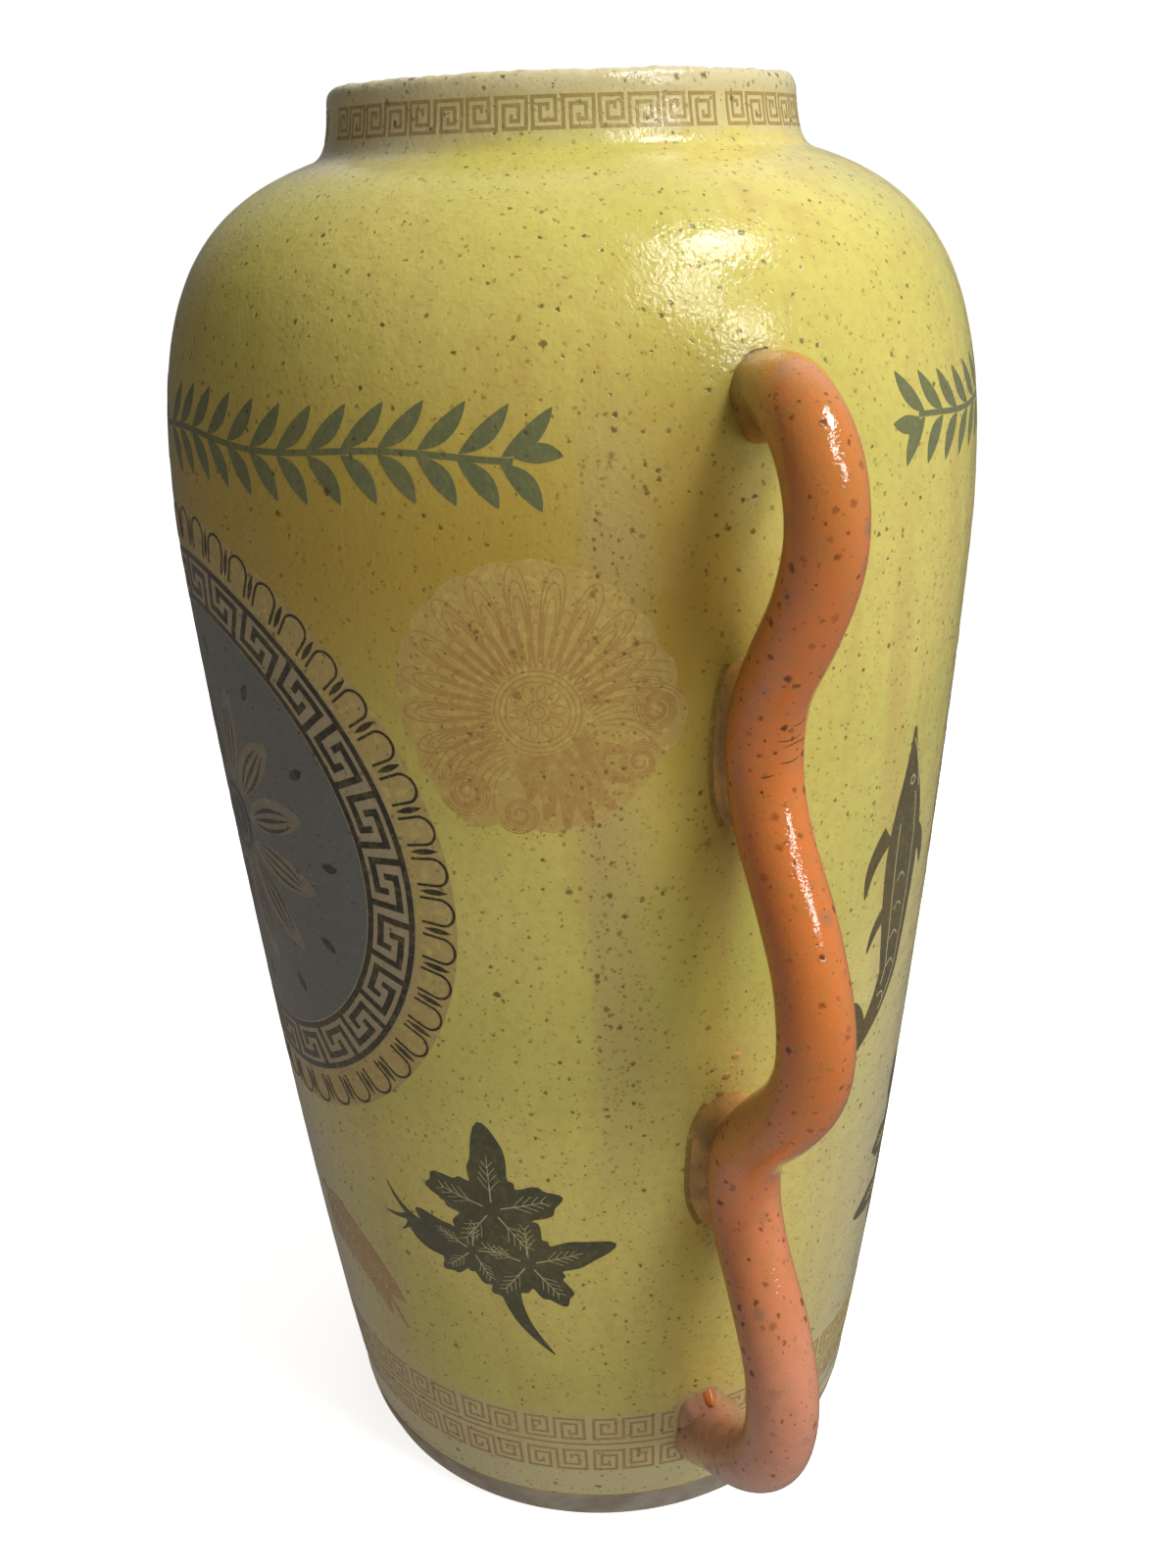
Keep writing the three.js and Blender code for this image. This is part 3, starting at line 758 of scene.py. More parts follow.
def bare_stoneware(colours):
    """Unglazed stoneware: matt, grainy, grey brown, with a stain where the glaze stopped and faint rings from
    turning."""
    material, _, tree, at = start_material("bare_stoneware", 0.85)
    edge = uneven_height(tree, at, 11 * MM, 3.0, 4 * MM)
    stained = add_node(tree, "MapRange", {"Value": edge, "From Min": FOOT_TOP - 1.2 * MM,
                                          "From Max": FOOT_TOP + 0.4 * MM, "To Max": 0.6},
                       interpolation_type="SMOOTHSTEP")
    colour = coats(
        tree, rgba(colours.clay),
        (patches(tree, at, 9 * MM, 4.0, 0.35, 0.7), colours.clay_dark),
        (stained, colours.glaze_tan),
        (specks(tree, ragged(tree, at), 2.2 * MM, 0.5 * MM), colours.iron, 0.7))
    inputs = {"Vector": at, "Scale": 1 / (0.9 * MM), "Detail": 3.0, "Roughness": 0.7}
    grain = add_node(tree, "TexNoise", inputs)
    drawn_round = add_node(tree, "Mapping", {"Vector": at, "Scale": (0.05, 0.05, 1)})
    turning = add_node(tree, "TexNoise", {"Vector": drawn_round, "Scale": 1 / (1.4 * MM), "Detail": 1.0})
    height = add_node(tree, "Math", {0: grain, 1: turning}, operation="ADD")
    bump = add_node(tree, "Bump", {"Strength": 1.0, "Distance": 0.14 * MM, "Height": height})
    return finished(material, colour, bump)


def ink(name, colour, colours, wear):
    """Ceramic ink fired into the glaze: the glaze's own gloss, ripple and iron specks, and a slightly uneven,
    worn tone where the glaze shows through."""
    material, _, tree, at = start_material(name, 0.24)
    tone = coats(
        tree, rgba(colour),
        (patches(tree, at, 2.6 * MM, 4.0, 0.45, 0.8, 0.0, wear, roughness=0.6), colours.glaze),
        (patches(tree, at, 24 * MM, 2.0, 0.35, 0.7, 0.0, 0.6 * wear), colours.glaze_tan))
    tone, coarse = with_iron(tree, at, tone, colours, 0.8)
    return finished(material, tone, glaze_bump(tree, at, coarse))


def floor_paper(studio):
    """Matt white paper with a faint tooth. It glows a little to the camera alone, as an overlit sweep
    does."""
    material, shader, tree, at = start_material("white_paper_sweep", 0.9)
    tone = coats(tree, rgba(studio.paper), (patches(tree, at, 0.5, 2.0, 0.3, 0.7), studio.paper_shade))
    fibres = add_node(tree, "TexNoise", {"Vector": at, "Scale": 1 / (2 * MM)})
    tooth = add_node(tree, "Bump", {"Strength": 0.3, "Distance": 0.1 * MM, "Height": fibres})
    shader.inputs["Emission Color"].default_value = (1, 0.995, 0.985, 1)
    seen = add_node(tree, "LightPath", output="Is Camera Ray")
    glow = add_node(tree, "Math", {0: seen, 1: studio.paper_glow}, operation="MULTIPLY")
    tree.links.new(glow, shader.inputs["Emission Strength"])
    return finished(material, tone, tooth)


GLAZES = {
    "yellow": yellow_glaze,
    "orange": orange_glaze,
    "drop": orange_drop,
    "luting": luting_glaze,
    "stoneware": bare_stoneware,
}
# Each ink: its material, its colour, and how far it is worn, from 0 for dense to 1 for hardly there
INKS = {
    "ochre": ("ochre_ink_in_glaze", "ochre", 0.3),
    "slate": ("slate_green_ink_in_glaze", "slate", 0.12),
    "field": ("blue_grey_ink_in_glaze", "field", 0.06),
    "ground": ("pink_ground_in_glaze", "ground", 0.3),
    "pale": ("pale_ground_in_glaze", "pale", 0.5),
    "haze": ("thin_pink_ground_in_glaze", "haze", 0.75),
    "tint": ("faint_rust_tint_in_glaze", "tint", 0.75),
    "bloom": ("faded_ground_in_glaze", "bloom", 0.25),
    # A darker line along the crevice beside each contact wad
    "crevice": ("rusty_run_in_glaze", "orange_stain_and_shade", 0.6),
    "crack": ("iron_stained_crack", "iron", 0.1),
    "umber": ("umber_ink_in_glaze", "umber", 0.15),
    "olive": ("dark_olive_ink_in_glaze", "olive", 0.1),
    "brown": ("dark_brown_ink_in_glaze", "brown", 0.1),
    "cream": ("open_line_in_ink", "cream", 0.3),
    "rust": ("rust_ink_in_glaze", "rust", 0.35),
}
made_materials = {}


def surface(kind):
    """The material of a kind, made once."""
    if kind not in made_materials:
        colours = bpy.context.scene.amphora_colours
        if kind in INKS:
            name, colour, wear = INKS[kind]
            made_materials[kind] = ink(name, getattr(colours, colour), colours, wear)
        else:
            made_materials[kind] = GLAZES[kind](colours)
    return made_materials[kind]


# Iron on the wall: where the glaze ran thin, as numbers for the glaze to read

STREAKS = ((-20.6, -13.2, 1.0), (-66, -61, 0.35), (46, 52, 0.45), (92, 97, 0.6), (127, 131, 0.4),
           (159.4, 166.8, 1.0), (200, 204, 0.4), (234, 240, 0.5))
# Widths of a streak's two edges, in degrees
CRISP_EDGE, SOFT_EDGE = 0.25, 1.1
# In metres: where the streaks start and end and how softly, where the painted shade lies, and where the
# painted sheen starts and how softly it grows downwards
IRON_LOW, IRON_LOW_FADE, IRON_HIGH, IRON_HIGH_FADE = 0.13, 0.09, 0.43, 0.05
SHADE_HEIGHT, SHADE_SPREAD, BESIDE_HEIGHT, BESIDE_SPREAD = 0.372, 0.05, 0.345, 0.075
SHEEN_TOP, SHEEN_DEPTH = 0.34, 0.22


def iron_on_wall(points):
    """Streaks with one crisp edge and one soft edge, where a second coat of glaze ran down, and more iron on
    the rim. Each streak is a smooth step up at its first azimuth times a smooth step down at its second, in
    degrees, times its strength."""
    azimuth = np.degrees(np.arctan2(points[..., 1], points[..., 0]))
    height = points[..., 2]
    iron = np.zeros(azimuth.shape)
    for first, last, strength in STREAKS:
        off = (azimuth - first + 180) % 360 - 180 + 0.5 * np.sin(height / (31 * MM) + first)
        rise = 1 / (1 + np.exp(np.clip(-off / CRISP_EDGE, -60, 60)))
        fall = 1 / (1 + np.exp(np.clip((off - (last - first)) / SOFT_EDGE, -60, 60)))
        iron += strength * rise * fall
    belly = np.clip((height - IRON_LOW) / IRON_LOW_FADE, 0, 1) \
        * np.clip((IRON_HIGH - height) / IRON_HIGH_FADE, 0, 1)
    rim = np.clip((height - NECK_TOP + 1 * MM) / (5 * MM), 0, 1)
    return iron * belly + 0.6 * rim


def painted_shade_on_wall(points):
    """Painted shade, as bell curves over the height: under the shoulder on two opposite sides, and beside the
    handles, where their shadows fall."""
    azimuth = np.arctan2(points[..., 1], points[..., 0])
    height = points[..., 2]
    side = np.clip(0.5 - 0.9 * np.sin(2 * azimuth + math.radians(20)), 0, 1)
    off = (azimuth + math.radians(8)) % math.pi
    beside = np.exp(-(np.minimum(off, math.pi - off) / math.radians(6)) ** 2)
    under_shoulder = np.exp(-((height - SHADE_HEIGHT) / SHADE_SPREAD) ** 2)
    by_handle = np.exp(-((height - BESIDE_HEIGHT) / BESIDE_SPREAD) ** 2)
    return 0.9 * side * under_shoulder + 0.7 * beside * by_handle


def painted_light_on_wall(points):
    """Painted light, as smooth steps over the azimuth and the height: a pale sheen low down to the right of
    each handle, and a lit side of the neck."""
    azimuth = np.degrees(np.arctan2(points[..., 1], points[..., 0])) % 180
    side = np.clip((azimuth - 8) / 35, 0, 1) * np.clip((125 - azimuth) / 35, 0, 1)
    down = np.clip((SHEEN_TOP - points[..., 2]) / SHEEN_DEPTH, 0, 1)
    neck = np.clip((azimuth - 50) / 30, 0, 1) * np.clip((140 - azimuth) / 20, 0, 1)
    up = np.clip((points[..., 2] - SHOULDER_TOP + 6 * MM) / (8 * MM), 0, 1)
    return side * down * down * (3 - 2 * down) + neck * up


def mesh_points(piece):
    """All points of a piece, one to a row."""
    points = np.empty(len(piece.data.vertices) * 3, np.float32)
    piece.data.vertices.foreach_get("co", points)
    return points.reshape(-1, 3)


def store_iron(piece):
    """Stores where the glaze is streaked with iron, and where painted shade and painted light lie."""
    points = mesh_points(piece)
    store(piece, "iron", iron_on_wall(points))
    store(piece, "pooled", np.minimum(painted_shade_on_wall(points), 1))
    # The attribute thin holds the painted sheen and painted light
    store(piece, "thin", painted_light_on_wall(points))


# Turned pieces

COLUMNS = 360
# Heights between two rows of points, on the outside and on the inside
WALL_STEPS = 2.0 * MM, 6 * MM
NECK_STEPS = 0.8 * MM, 4 * MM


def revolve(profile):
    """Points and faces of a profile turned about the axis. It is a closed ring of points, or it starts and
    ends on the axis, and it runs up the outside and down the inside."""
    poles = profile[0, 0] < 1e-9
    rings = profile[1:-1] if poles else profile
    azimuth = around(COLUMNS)
    radius, height = rings[None, :, 0], rings[None, :, 1]
    points = np.stack([radius * np.cos(azimuth[:, None]), radius * np.sin(azimuth[:, None]),
                       height * np.ones((COLUMNS, 1))], -1).reshape(-1, 3)
    count = len(rings)
    quads = grid_faces(COLUMNS, count, wrap_rows=True, wrap_columns=not poles)
    if not poles:
        return points, [quads]
    i = np.arange(COLUMNS)
    i2 = (i + 1) % COLUMNS
    first, last = len(points), len(points) + 1
    points = np.concatenate([points, [[0, 0, profile[0, 1]], [0, 0, profile[-1, 1]]]])
    fans = [np.stack([np.full(COLUMNS, first), i2 * count, i * count], 1),
            np.stack([np.full(COLUMNS, last), i * count + count - 1, i2 * count + count - 1], 1)]
    return points, [quads, *fans]


def turned_piece(wall, name, node, before, outside, after):
    """A glazed piece of the wall that stands for a node. Its profile has points before, on and after the
    outside face, and the outside rows carry the relief and exact normals, so that no joint shows."""
    profile = np.concatenate([*before, outside, after])
    points, faces = revolve(profile)
    poles = int(profile[0, 0] < 1e-9)
    first = sum(len(part) for part in before) - poles
    rows = len(profile) - 2 * poles
    row = np.arange(COLUMNS * rows) % rows
    outer = np.zeros(len(points), bool)
    outer[:COLUMNS * rows] = (row >= first) & (row < first + len(outside))
    points[outer] = wall.point(np.arctan2(points[outer, 1], points[outer, 0]), points[outer, 2])
    piece = make_piece(name, points, faces, surface("yellow"), (node,), SHARP_WALL)
    normals = np.zeros(points.shape)
    normals[outer] = wall.normal(np.arctan2(points[outer, 1], points[outer, 0]), points[outer, 2])
    corners = [np.where(outer[f].all(1)[:, None, None], normals[f], 0).reshape(-1, 3) for f in faces]
    piece.data.normals_split_custom_set(np.concatenate(corners).astype(np.float32))
    store_iron(piece)


class AMPHORA_OT_body(bpy.types.Operator):
    """Turn the foot ring, the floor, the wall sections, the neck and the rim"""
    bl_idname = "amphora.body"
    bl_label = "Body"

    def execute(self, context):
        body = context.scene.amphora_body
        wall = Wall(body)
        foot_ring(body)
        underside = np.array([(0.0, FOOT_TOP), (0.03, FOOT_TOP), (0.06, FOOT_TOP), (0.09, FOOT_TOP)])
        top = underside[::-1] * [1, 0] + [0, FLOOR_TOP]
        edge = wall.rows(FOOT_TOP, FLOOR_TOP, 0.7 * MM)
        turned_piece(wall, "floor_slab_glazed", "floor_slab", (underside,), edge, top)
        for name in ("lower_wall", "middle_wall", "upper_wall", "shoulder", "neck_collar"):
            outside_step, inside_step = NECK_STEPS if name == "neck_collar" else WALL_STEPS
            outside = wall.rows(low(name), high(name), outside_step)
            inside = wall.inner_rows(low(name), high(name), inside_step)[::-1]
            turned_piece(wall, name, name, (), outside, inside)
        rim_roll(wall, body)
        return {"FINISHED"}


def foot_ring(body):
    """A turned ring with soft edges: the outer face flares a little, and its top is flat under the floor. The
    edges are quarter circles, and the face is a Bezier curve with a slight wobble."""
    inside = body.foot_radius - body.foot_ring_width
    edge = 1.6 * MM
    turn = np.linspace(0, np.pi / 2, 5)
    corner_out = np.stack([body.foot_radius - edge + edge * np.sin(turn), edge - edge * np.cos(turn)], 1)
    face = bezier([(body.foot_radius, edge),
                   (body.foot_radius + 0.8 * (body.foot_top_radius - body.foot_radius), 0.6 * FOOT_TOP),
                   (body.foot_top_radius, FOOT_TOP)], 12)[1:]
    inner = np.array([(inside, FOOT_TOP), (inside, 0.5 * FOOT_TOP)])
    corner_in = np.stack([inside + edge - edge * np.cos(turn), edge - edge * np.sin(turn)], 1)
    points, faces = revolve(np.concatenate([corner_out, face, inner, corner_in]))
    azimuth = np.arctan2(points[:, 1], points[:, 0])
    on_face = (points[:, 2] > edge) & (points[:, 2] < 0.9 * FOOT_TOP)
    wobble = 0.15 * MM * tangle(7 * azimuth, points[:, 2] / (3 * MM)) * on_face
    points[:, :2] *= (1 + wobble / np.linalg.norm(points[:, :2], axis=1))[:, None]
    make_piece("foot_ring_clay", points, faces, surface("stoneware"), ("foot_ring",),
               SHARP_WALL)


def rim_roll(wall, body):
    """A thrown lip: the outer edge is a wide soft curve, the inner one a tighter curve."""
    outside, inside = body.neck_radius, wall.inner_rows(SHOULDER_TOP, NECK_TOP, 4 * MM)[-1, 0]
    crown = 0.5 * (outside + inside)
    outer = bezier([(outside, NECK_TOP), (outside, NECK_TOP + 0.75 * (RIM_TOP - NECK_TOP)),
                    (outside - 1.2 * MM, RIM_TOP), (crown, RIM_TOP)], 16)
    inner = bezier([(crown, RIM_TOP), (inside + 1.0 * MM, RIM_TOP),
                    (inside, NECK_TOP + 0.7 * (RIM_TOP - NECK_TOP)), (inside, NECK_TOP)], 10)[1:]
    points, faces = revolve(np.concatenate([outer, inner]))
    azimuth = np.arctan2(points[:, 1], points[:, 0])
    rise = (points[:, 2] - NECK_TOP) / (RIM_TOP - NECK_TOP)
    waves = tangle(6 * azimuth, 2 * azimuth) + tangle(31 * azimuth, 17 * azimuth)
    points[:, 2] += rise * 0.25 * MM * (waves - 1.6)
    grow = rise * 0.2 * MM * tangle(11 * azimuth, 3 * rise)
    points[:, :2] *= (1 + grow / np.linalg.norm(points[:, :2], axis=1))[:, None]
    store_iron(make_piece("rim_roll_glazed", points, faces, surface("yellow"), ("rim_roll",),
                          SHARP_ROUND))


# Handles

class Coil:
    """The hand-rolled coil of one handle, as a tube surface with a middle line, a radius and soft dents."""

    def __init__(self, wall, sizes, side):
        self.wall, self.side = wall, side
        root = BELLY_HEIGHT + sizes.root
        upper = root - sizes.upper_contact_drop
        middle = sizes.lower_contact + (upper - sizes.lower_contact) * (1 - sizes.middle_crest)
        depth = -wall.body.wall / 2
        upper_seat = sizes.thick_upper / 2 - sizes.press
        lower_seat = sizes.thick_lower / 2 - sizes.press

        def wave_out(share):
            return (1 - np.cos(np.pi * share ** sizes.wave)) / 2

        def wave_in(share):
            return 1 - wave_out(1 - share)

        def even(share):
            return share

        def bend_down(share):
            return 1 - np.cos(share * np.pi / 2)

        def bend_out(share):
            return np.sin(share * np.pi / 2)

        def tuck_in(share):
            return share ** sizes.tuck

        stations = [
            (root, depth, sizes.thick_shoulder, even, even),
            (root + sizes.stub_rise, sizes.stub, sizes.thick_shoulder, even, even),
            (root - sizes.upper_crest_drop, sizes.upper_bulge, sizes.thick_shoulder, bend_down, bend_out),
            (upper + sizes.upper_run / 2, upper_seat, sizes.thick_upper, even, wave_in),
            (upper - sizes.upper_run / 2, upper_seat, sizes.thick_upper, even, even),
            (middle, sizes.middle_bulge, sizes.thick_middle, even, wave_out),
            (sizes.lower_contact + sizes.lower_run / 2, lower_seat, sizes.thick_lower, even, wave_in),
            (sizes.lower_contact - sizes.lower_run / 2, lower_seat, sizes.thick_lower, even, even),
            (sizes.lower_crest, sizes.lower_bulge, sizes.thick_foot, even, wave_out),
            (sizes.foot, 0, sizes.thick_foot, even, tuck_in),
            (sizes.foot + depth / 2, depth, sizes.thick_foot, even, even),
        ]
        line, thick = [], []
        for (h0, s0, t0, _, _), (h1, s1, t1, ease_height, ease_reach) in zip(stations[:-1], stations[1:]):
            share = np.linspace(0, 1, 60, endpoint=False)
            height = h0 + (h1 - h0) * ease_height(share)
            reach = wall.radius_at(height) + s0 + (s1 - s0) * ease_reach(share)
            line.append(np.stack([reach, height], 1))
            thick.append(t0 + (t1 - t0) * share)
        line, thick = np.concatenate(line), np.concatenate(thick)
        along = np.concatenate([[0], np.cumsum(np.linalg.norm(np.diff(line, axis=0), axis=1))])
        self.length = along[-1]
        self.count = int(self.length / (1.2 * MM))
        even_steps = np.linspace(0, self.length, self.count)
        line = np.stack([np.interp(even_steps, along, line[:, k]) for k in (0, 1)], 1)
        self.line = smoothed(line, 7)
        self.radius = smoothed(np.interp(even_steps, along, thick)[:, None], 6)[:, 0] / 2
        run = np.gradient(self.line, axis=0)
        self.run = run / np.linalg.norm(run, axis=1, keepdims=True)
        self.steps = even_steps
        self.upper, self.lower = upper, sizes.lower_contact
        self.drift = sizes.drift * np.exp(-(even_steps / (24 * MM)) ** 2)

    def near(self, height, spread):
        """A bell curve along the coil, round a height."""
        return np.exp(-((self.line[:, 1] - height) / spread) ** 2)

    def point(self, step, turn, lift=0.0):
        """The coil's skin at a place along it and an angle round it: 0 faces away from the wall. Where the
        coil was pressed on the wall it is wider and flatter, its upper side swells towards the lower root,
        and dents left by fingers run slowly along it."""
        step, turn, lift = np.broadcast_arrays(step, turn, lift)
        reach = np.interp(step, self.steps, self.line[:, 0])
        height = np.interp(step, self.steps, self.line[:, 1])
        run_out = np.interp(step, self.steps, self.run[:, 0])
        run_up = np.interp(step, self.steps, self.run[:, 1])
        radius = np.interp(step, self.steps, self.radius)
        pressed = np.interp(step, self.steps, self.near(self.upper, 16 * MM) + self.near(self.lower, 15 * MM))
        first, last = step, self.length - step
        flare = 0.8 * MM * np.exp(-(first / (7 * MM)) ** 2) + 2.0 * MM * np.exp(-(last / (10 * MM)) ** 2)
        dents = 0.016 * tangle(step / (11 * MM), 1.2 * np.sin(turn), 1 + self.side) \
            + 0.010 * np.sin(2 * turn + step / (23 * MM))
        radius = radius * (1 + dents) + flare + lift
        out = radius * np.cos(turn) * (1 - 0.03 * pressed)
        out -= 2.5 * MM * (1 - np.cos(turn)) * np.exp(-(last / (15 * MM)) ** 2)
        sideways = radius * np.sin(turn) * (1 + 0.06 * pressed) + np.interp(step, self.steps, self.drift)
        x = reach - run_up * out
        z = height + run_out * out
        return np.stack([self.side * x, self.side * sideways, z], -1)


def smoothed(values, width):
    """A running average weighted by a bell curve, with the ends held."""
    reach = 3 * width
    weights = np.exp(-0.5 * (np.arange(-reach, reach + 1) / width) ** 2)
    weights /= weights.sum()
    padded = np.pad(values, ((reach, reach), (0, 0)), mode="reflect", reflect_type="odd")
    return np.stack([np.convolve(padded[:, k], weights, "valid") for k in range(values.shape[1])], 1)


def store_stain_and_shade(wall, piece):
    """How much yellow glaze ran into the orange, and painted shade with it: a bell curve over the distance
    from the wall, stronger at the top and on one side of the coil."""
    points = mesh_points(piece)
    off = np.maximum(np.hypot(points[:, 0], points[:, 1]) - wall.radius_at(points[:, 2]), 0)
    top = np.clip((points[:, 2] - 0.37) / 0.03, 0, 1)
    inner = np.clip(0.5 - 0.045 * points[:, 1] * np.sign(points[:, 0]) / MM, 0.15, 1)
    stain = top * inner * np.exp(-(off / (17 * MM)) ** 2) + 0.5 * (1 - top) * np.exp(-(off / (8 * MM)) ** 2)
    store(piece, "stain", np.minimum(stain + 0.22 * top, 1))


COIL_SIDES = 56
SIDES = {"right": 1, "left": -1}


class AMPHORA_OT_handles(bpy.types.Operator):
    """Roll the two wavy coil handles"""
    bl_idname = "amphora.handles"
    bl_label = "Handles"

    def execute(self, context):
        wall = Wall(context.scene.amphora_body)
        for name, side in SIDES.items():
            coil = Coil(wall, context.scene.amphora_handle, side)
            turn = around(COIL_SIDES)
            skin = coil.point(coil.steps[:, None], turn[None])
            ends = [skin[0].mean(0), skin[-1].mean(0)]
            points = np.concatenate([skin.reshape(-1, 3), ends])
            quads = grid_faces(coil.count, COIL_SIDES, wrap_columns=True)[:, ::-1]
            j = np.arange(COIL_SIDES)
            j2 = (j + 1) % COIL_SIDES
            start = coil.count * COIL_SIDES
            end, last = start + 1, start - COIL_SIDES
            caps = [np.stack([np.full(COIL_SIDES, start), j, j2], 1),
                    np.stack([np.full(COIL_SIDES, end), last + j2, last + j], 1)]
            store_stain_and_shade(wall, make_piece(f"handle_{name}_coil", points, [quads, *caps], surface("orange"),
                                         (f"handle_{name}",), SHARP_ROUND))
        return {"FINISHED"}


def mound(wall, shell, azimuth, height, outline, rise, edge=3.0, blunt=0.5, groove=0.0, seed=0.0, rings=22):
    """A wad of clay on the wall: an outline filled with a dome, 1 minus the share of the way out to the power
    edge, all to the power blunt. A groove runs round inside the edge where a finger sealed it."""
    share = (np.arange(1, rings + 1) / rings)[:, None]
    grid = outline[None] * share[..., None]
    turn = around(len(outline))[None]
    lumps = 1 + 0.07 * tangle(grid[..., 0] / (4 * MM), grid[..., 1] / (5 * MM), seed)
    cut = 1 - groove * np.exp(-((share - 0.78 - 0.03 * np.sin(5 * turn + seed)) / 0.07) ** 2)
    lift = rise * lumps * cut * np.maximum(1 - share ** edge, 0) ** blunt - WAD_SINK
    middle = np.zeros(2)
    shell.polar_slab(wall.place(grid, azimuth, height, lift), wall.place(grid, azimuth, height, WAD_ROOT),
                     wall.place(middle, azimuth, height, rise - WAD_SINK),
                     wall.place(middle, azimuth, height, WAD_ROOT))


def oval(half_width, half_height, square=2.0, lump=0.04, seed=0.0, count=96):
    """A superellipse outline with a slightly lumpy edge: a power over 2 makes it squarer."""
    turn = around(count)
    c, t = np.cos(turn), np.sin(turn)
    swell = 1 + lump * tangle(3 * c, 3 * t, seed)
    return np.stack([half_width * swell * np.sign(c) * np.abs(c) ** (2 / square),
                     half_height * swell * np.sign(t) * np.abs(t) ** (2 / square)], 1)


def through(outline, count=96):
    """A smooth closed curve through a few points: a cubic between each pair, with slopes from its
    neighbours."""
    share = np.linspace(0, 1, count // len(outline) + 1, endpoint=False)[:, None]
    before, start, end, after = (np.roll(outline, k, 0)[:, None] for k in (1, 0, -1, -2))
    curve = start + 0.5 * share * (end - before) \
        + share ** 2 * (before - 2.5 * start + 2 * end - 0.5 * after) \
        + share ** 3 * (1.5 * start - 0.5 * before - 1.5 * end + 0.5 * after)
    return curve.reshape(-1, 2)


WAD_SINK = 0.2 * MM
WAD_ROOT = -1.2 * MM
CONTACT_HALF_HEIGHT = 28 * MM
CREVICE_WIDTH = 1.9 * MM
CRUMBS = 15
LOWER_ROOT_RISE = 2.5 * MM
# Each drop of glaze on a handle: its place to the side and its height, half its width, half its own height,
# and how far it stands out
DROPS = np.array([(-6.3, 333, 1.9, 4.18, 1.7), (-1.5, 60, 3.4, 3.4, 5)]) * MM
ROOT_OUTLINE = np.array([(-12.6, 4), (-10.4, -8.7), (-3, -17.5), (8, -18), (14, -9), (12, 0), (7, 8),
                         (4, 14.6), (1, 18.2), (-2.5, 19), (-7, 17.5), (-11, 16), (-12.4, 11.5)]) * MM


class AMPHORA_OT_luting(bpy.types.Operator):
    """Press the wads of clay that hold the handles"""
    bl_idname = "amphora.luting"
    bl_label = "Luting pads"

    def execute(self, context):
        wall = Wall(context.scene.amphora_body)
        sizes = context.scene.amphora_handle
        for name, side in SIDES.items():
            face = 0 if side > 0 else math.pi
            seed = 2.0 + side
            upper_root_wad(wall, sizes, name, face, seed)
            crevices = Print(wall, PRINT_LIFT)
            upper = BELLY_HEIGHT + sizes.root - sizes.upper_contact_drop
            for which, height, half, crumbs in (
                    ("upper", upper - 3 * MM, sizes.thick_upper / 2, 0),
                    ("lower", sizes.lower_contact - 2 * MM, sizes.thick_lower / 2 + 1.7 * MM, CRUMBS)):
                contact_wad(wall, crevices, f"{name}_{which}_contact", face, height, half, seed, crumbs)
            lower_root_wad(wall, sizes, name, face, seed)
            crevices.finish(f"{name}_crevices", "crevice")
        return {"FINISHED"}


def upper_root_wad(wall, sizes, name, face, seed):
    """The wad where the coil leaves the shoulder: a squarish oval, a little to one side."""
    root = BELLY_HEIGHT + sizes.root
    shell = Shell()
    mound(wall, shell, face + sizes.drift / wall.radius_at(root), root - 1.5 * MM,
          oval(10 * MM, 11 * MM, 2.8, 0.03, seed), 12 * MM, edge=6, seed=seed)
    store_stain_and_shade(wall, shell.piece(f"{name}_upper_root_wad", surface("orange"), "orange_glaze",
                                  (f"{name}_upper_root_pad",), SHARP_WAD))


def contact_wad(wall, crevices, name, face, height, half, seed, crumbs=0):
    """The wad where the coil is pressed to the wall: a long oval with a finger's groove, crumbs of slip
    beside it whose heights climb faster and faster, and a darker line along the crevice on its left."""
    beside = face - 0.3 * MM / wall.radius_at(height)
    outline = oval(half, CONTACT_HALF_HEIGHT, 2.4, 0.03, seed + height * 30)
    shell = Shell()
    mound(wall, shell, beside, height, outline, 8 * MM, edge=1.2, blunt=1.0, groove=0.15, seed=seed + 3)
    for k in range(crumbs):
        x = -13.6 * MM + k * MM + 0.7 * MM * math.sin(5 * k)
        z = 13 * MM + (0.2 + 0.13 * k) * k * MM
        size = (1.3 + 0.6 * math.sin(3 * k + seed)) * MM
        mound(wall, shell, face + x / wall.radius_at(height), height + z,
              oval(size, 0.8 * size, 2, 0.1, k, 16), 0.6 * MM, edge=2, rings=5, seed=k)
    shell.piece(f"{name}_wad", surface("luting"), "yellow_glaze", (f"{name}_pad",), SHARP_WAD)
    # A darker line along the crevice on the wad's left
    crevices.at(beside, height).stroke(1.04 * outline[outline[:, 0] < -0.6 * half], CREVICE_WIDTH)


def lower_root_wad(wall, sizes, name, face, seed):
    """The wad at the foot, pulled out to the outline seen in the glaze, with drops of glaze above it and a
    pale halo round it."""
    outline = through(ROOT_OUTLINE)
    height = sizes.foot + LOWER_ROOT_RISE
    shell = Shell()
    mound(wall, shell, face, height, outline, 9 * MM, edge=2.0, blunt=0.8, seed=seed + 5)
    store_stain_and_shade(wall, shell.piece(f"{name}_lower_root_wad", surface("orange"), "orange_glaze",
                                  (f"{name}_lower_root_pad",), SHARP_WAD))
    drops = Shell()
    for x, drop_height, half_width, half_height, rise in DROPS:
        mound(wall, drops, face + x / wall.radius_at(drop_height), drop_height,
              oval(half_width, half_height, 2, 0.04, seed + 6), rise, edge=1.6, blunt=0.8, seed=seed + 6)
    drops.piece(f"{name}_drops", surface("drop"), "orange_glaze")
    halo = Print(wall, PRINT_LIFT * 1.6)
    halo.at(face, height).blob(1.13 * outline, rings=8)
    halo.finish(f"{name}_root_halo", "pale")


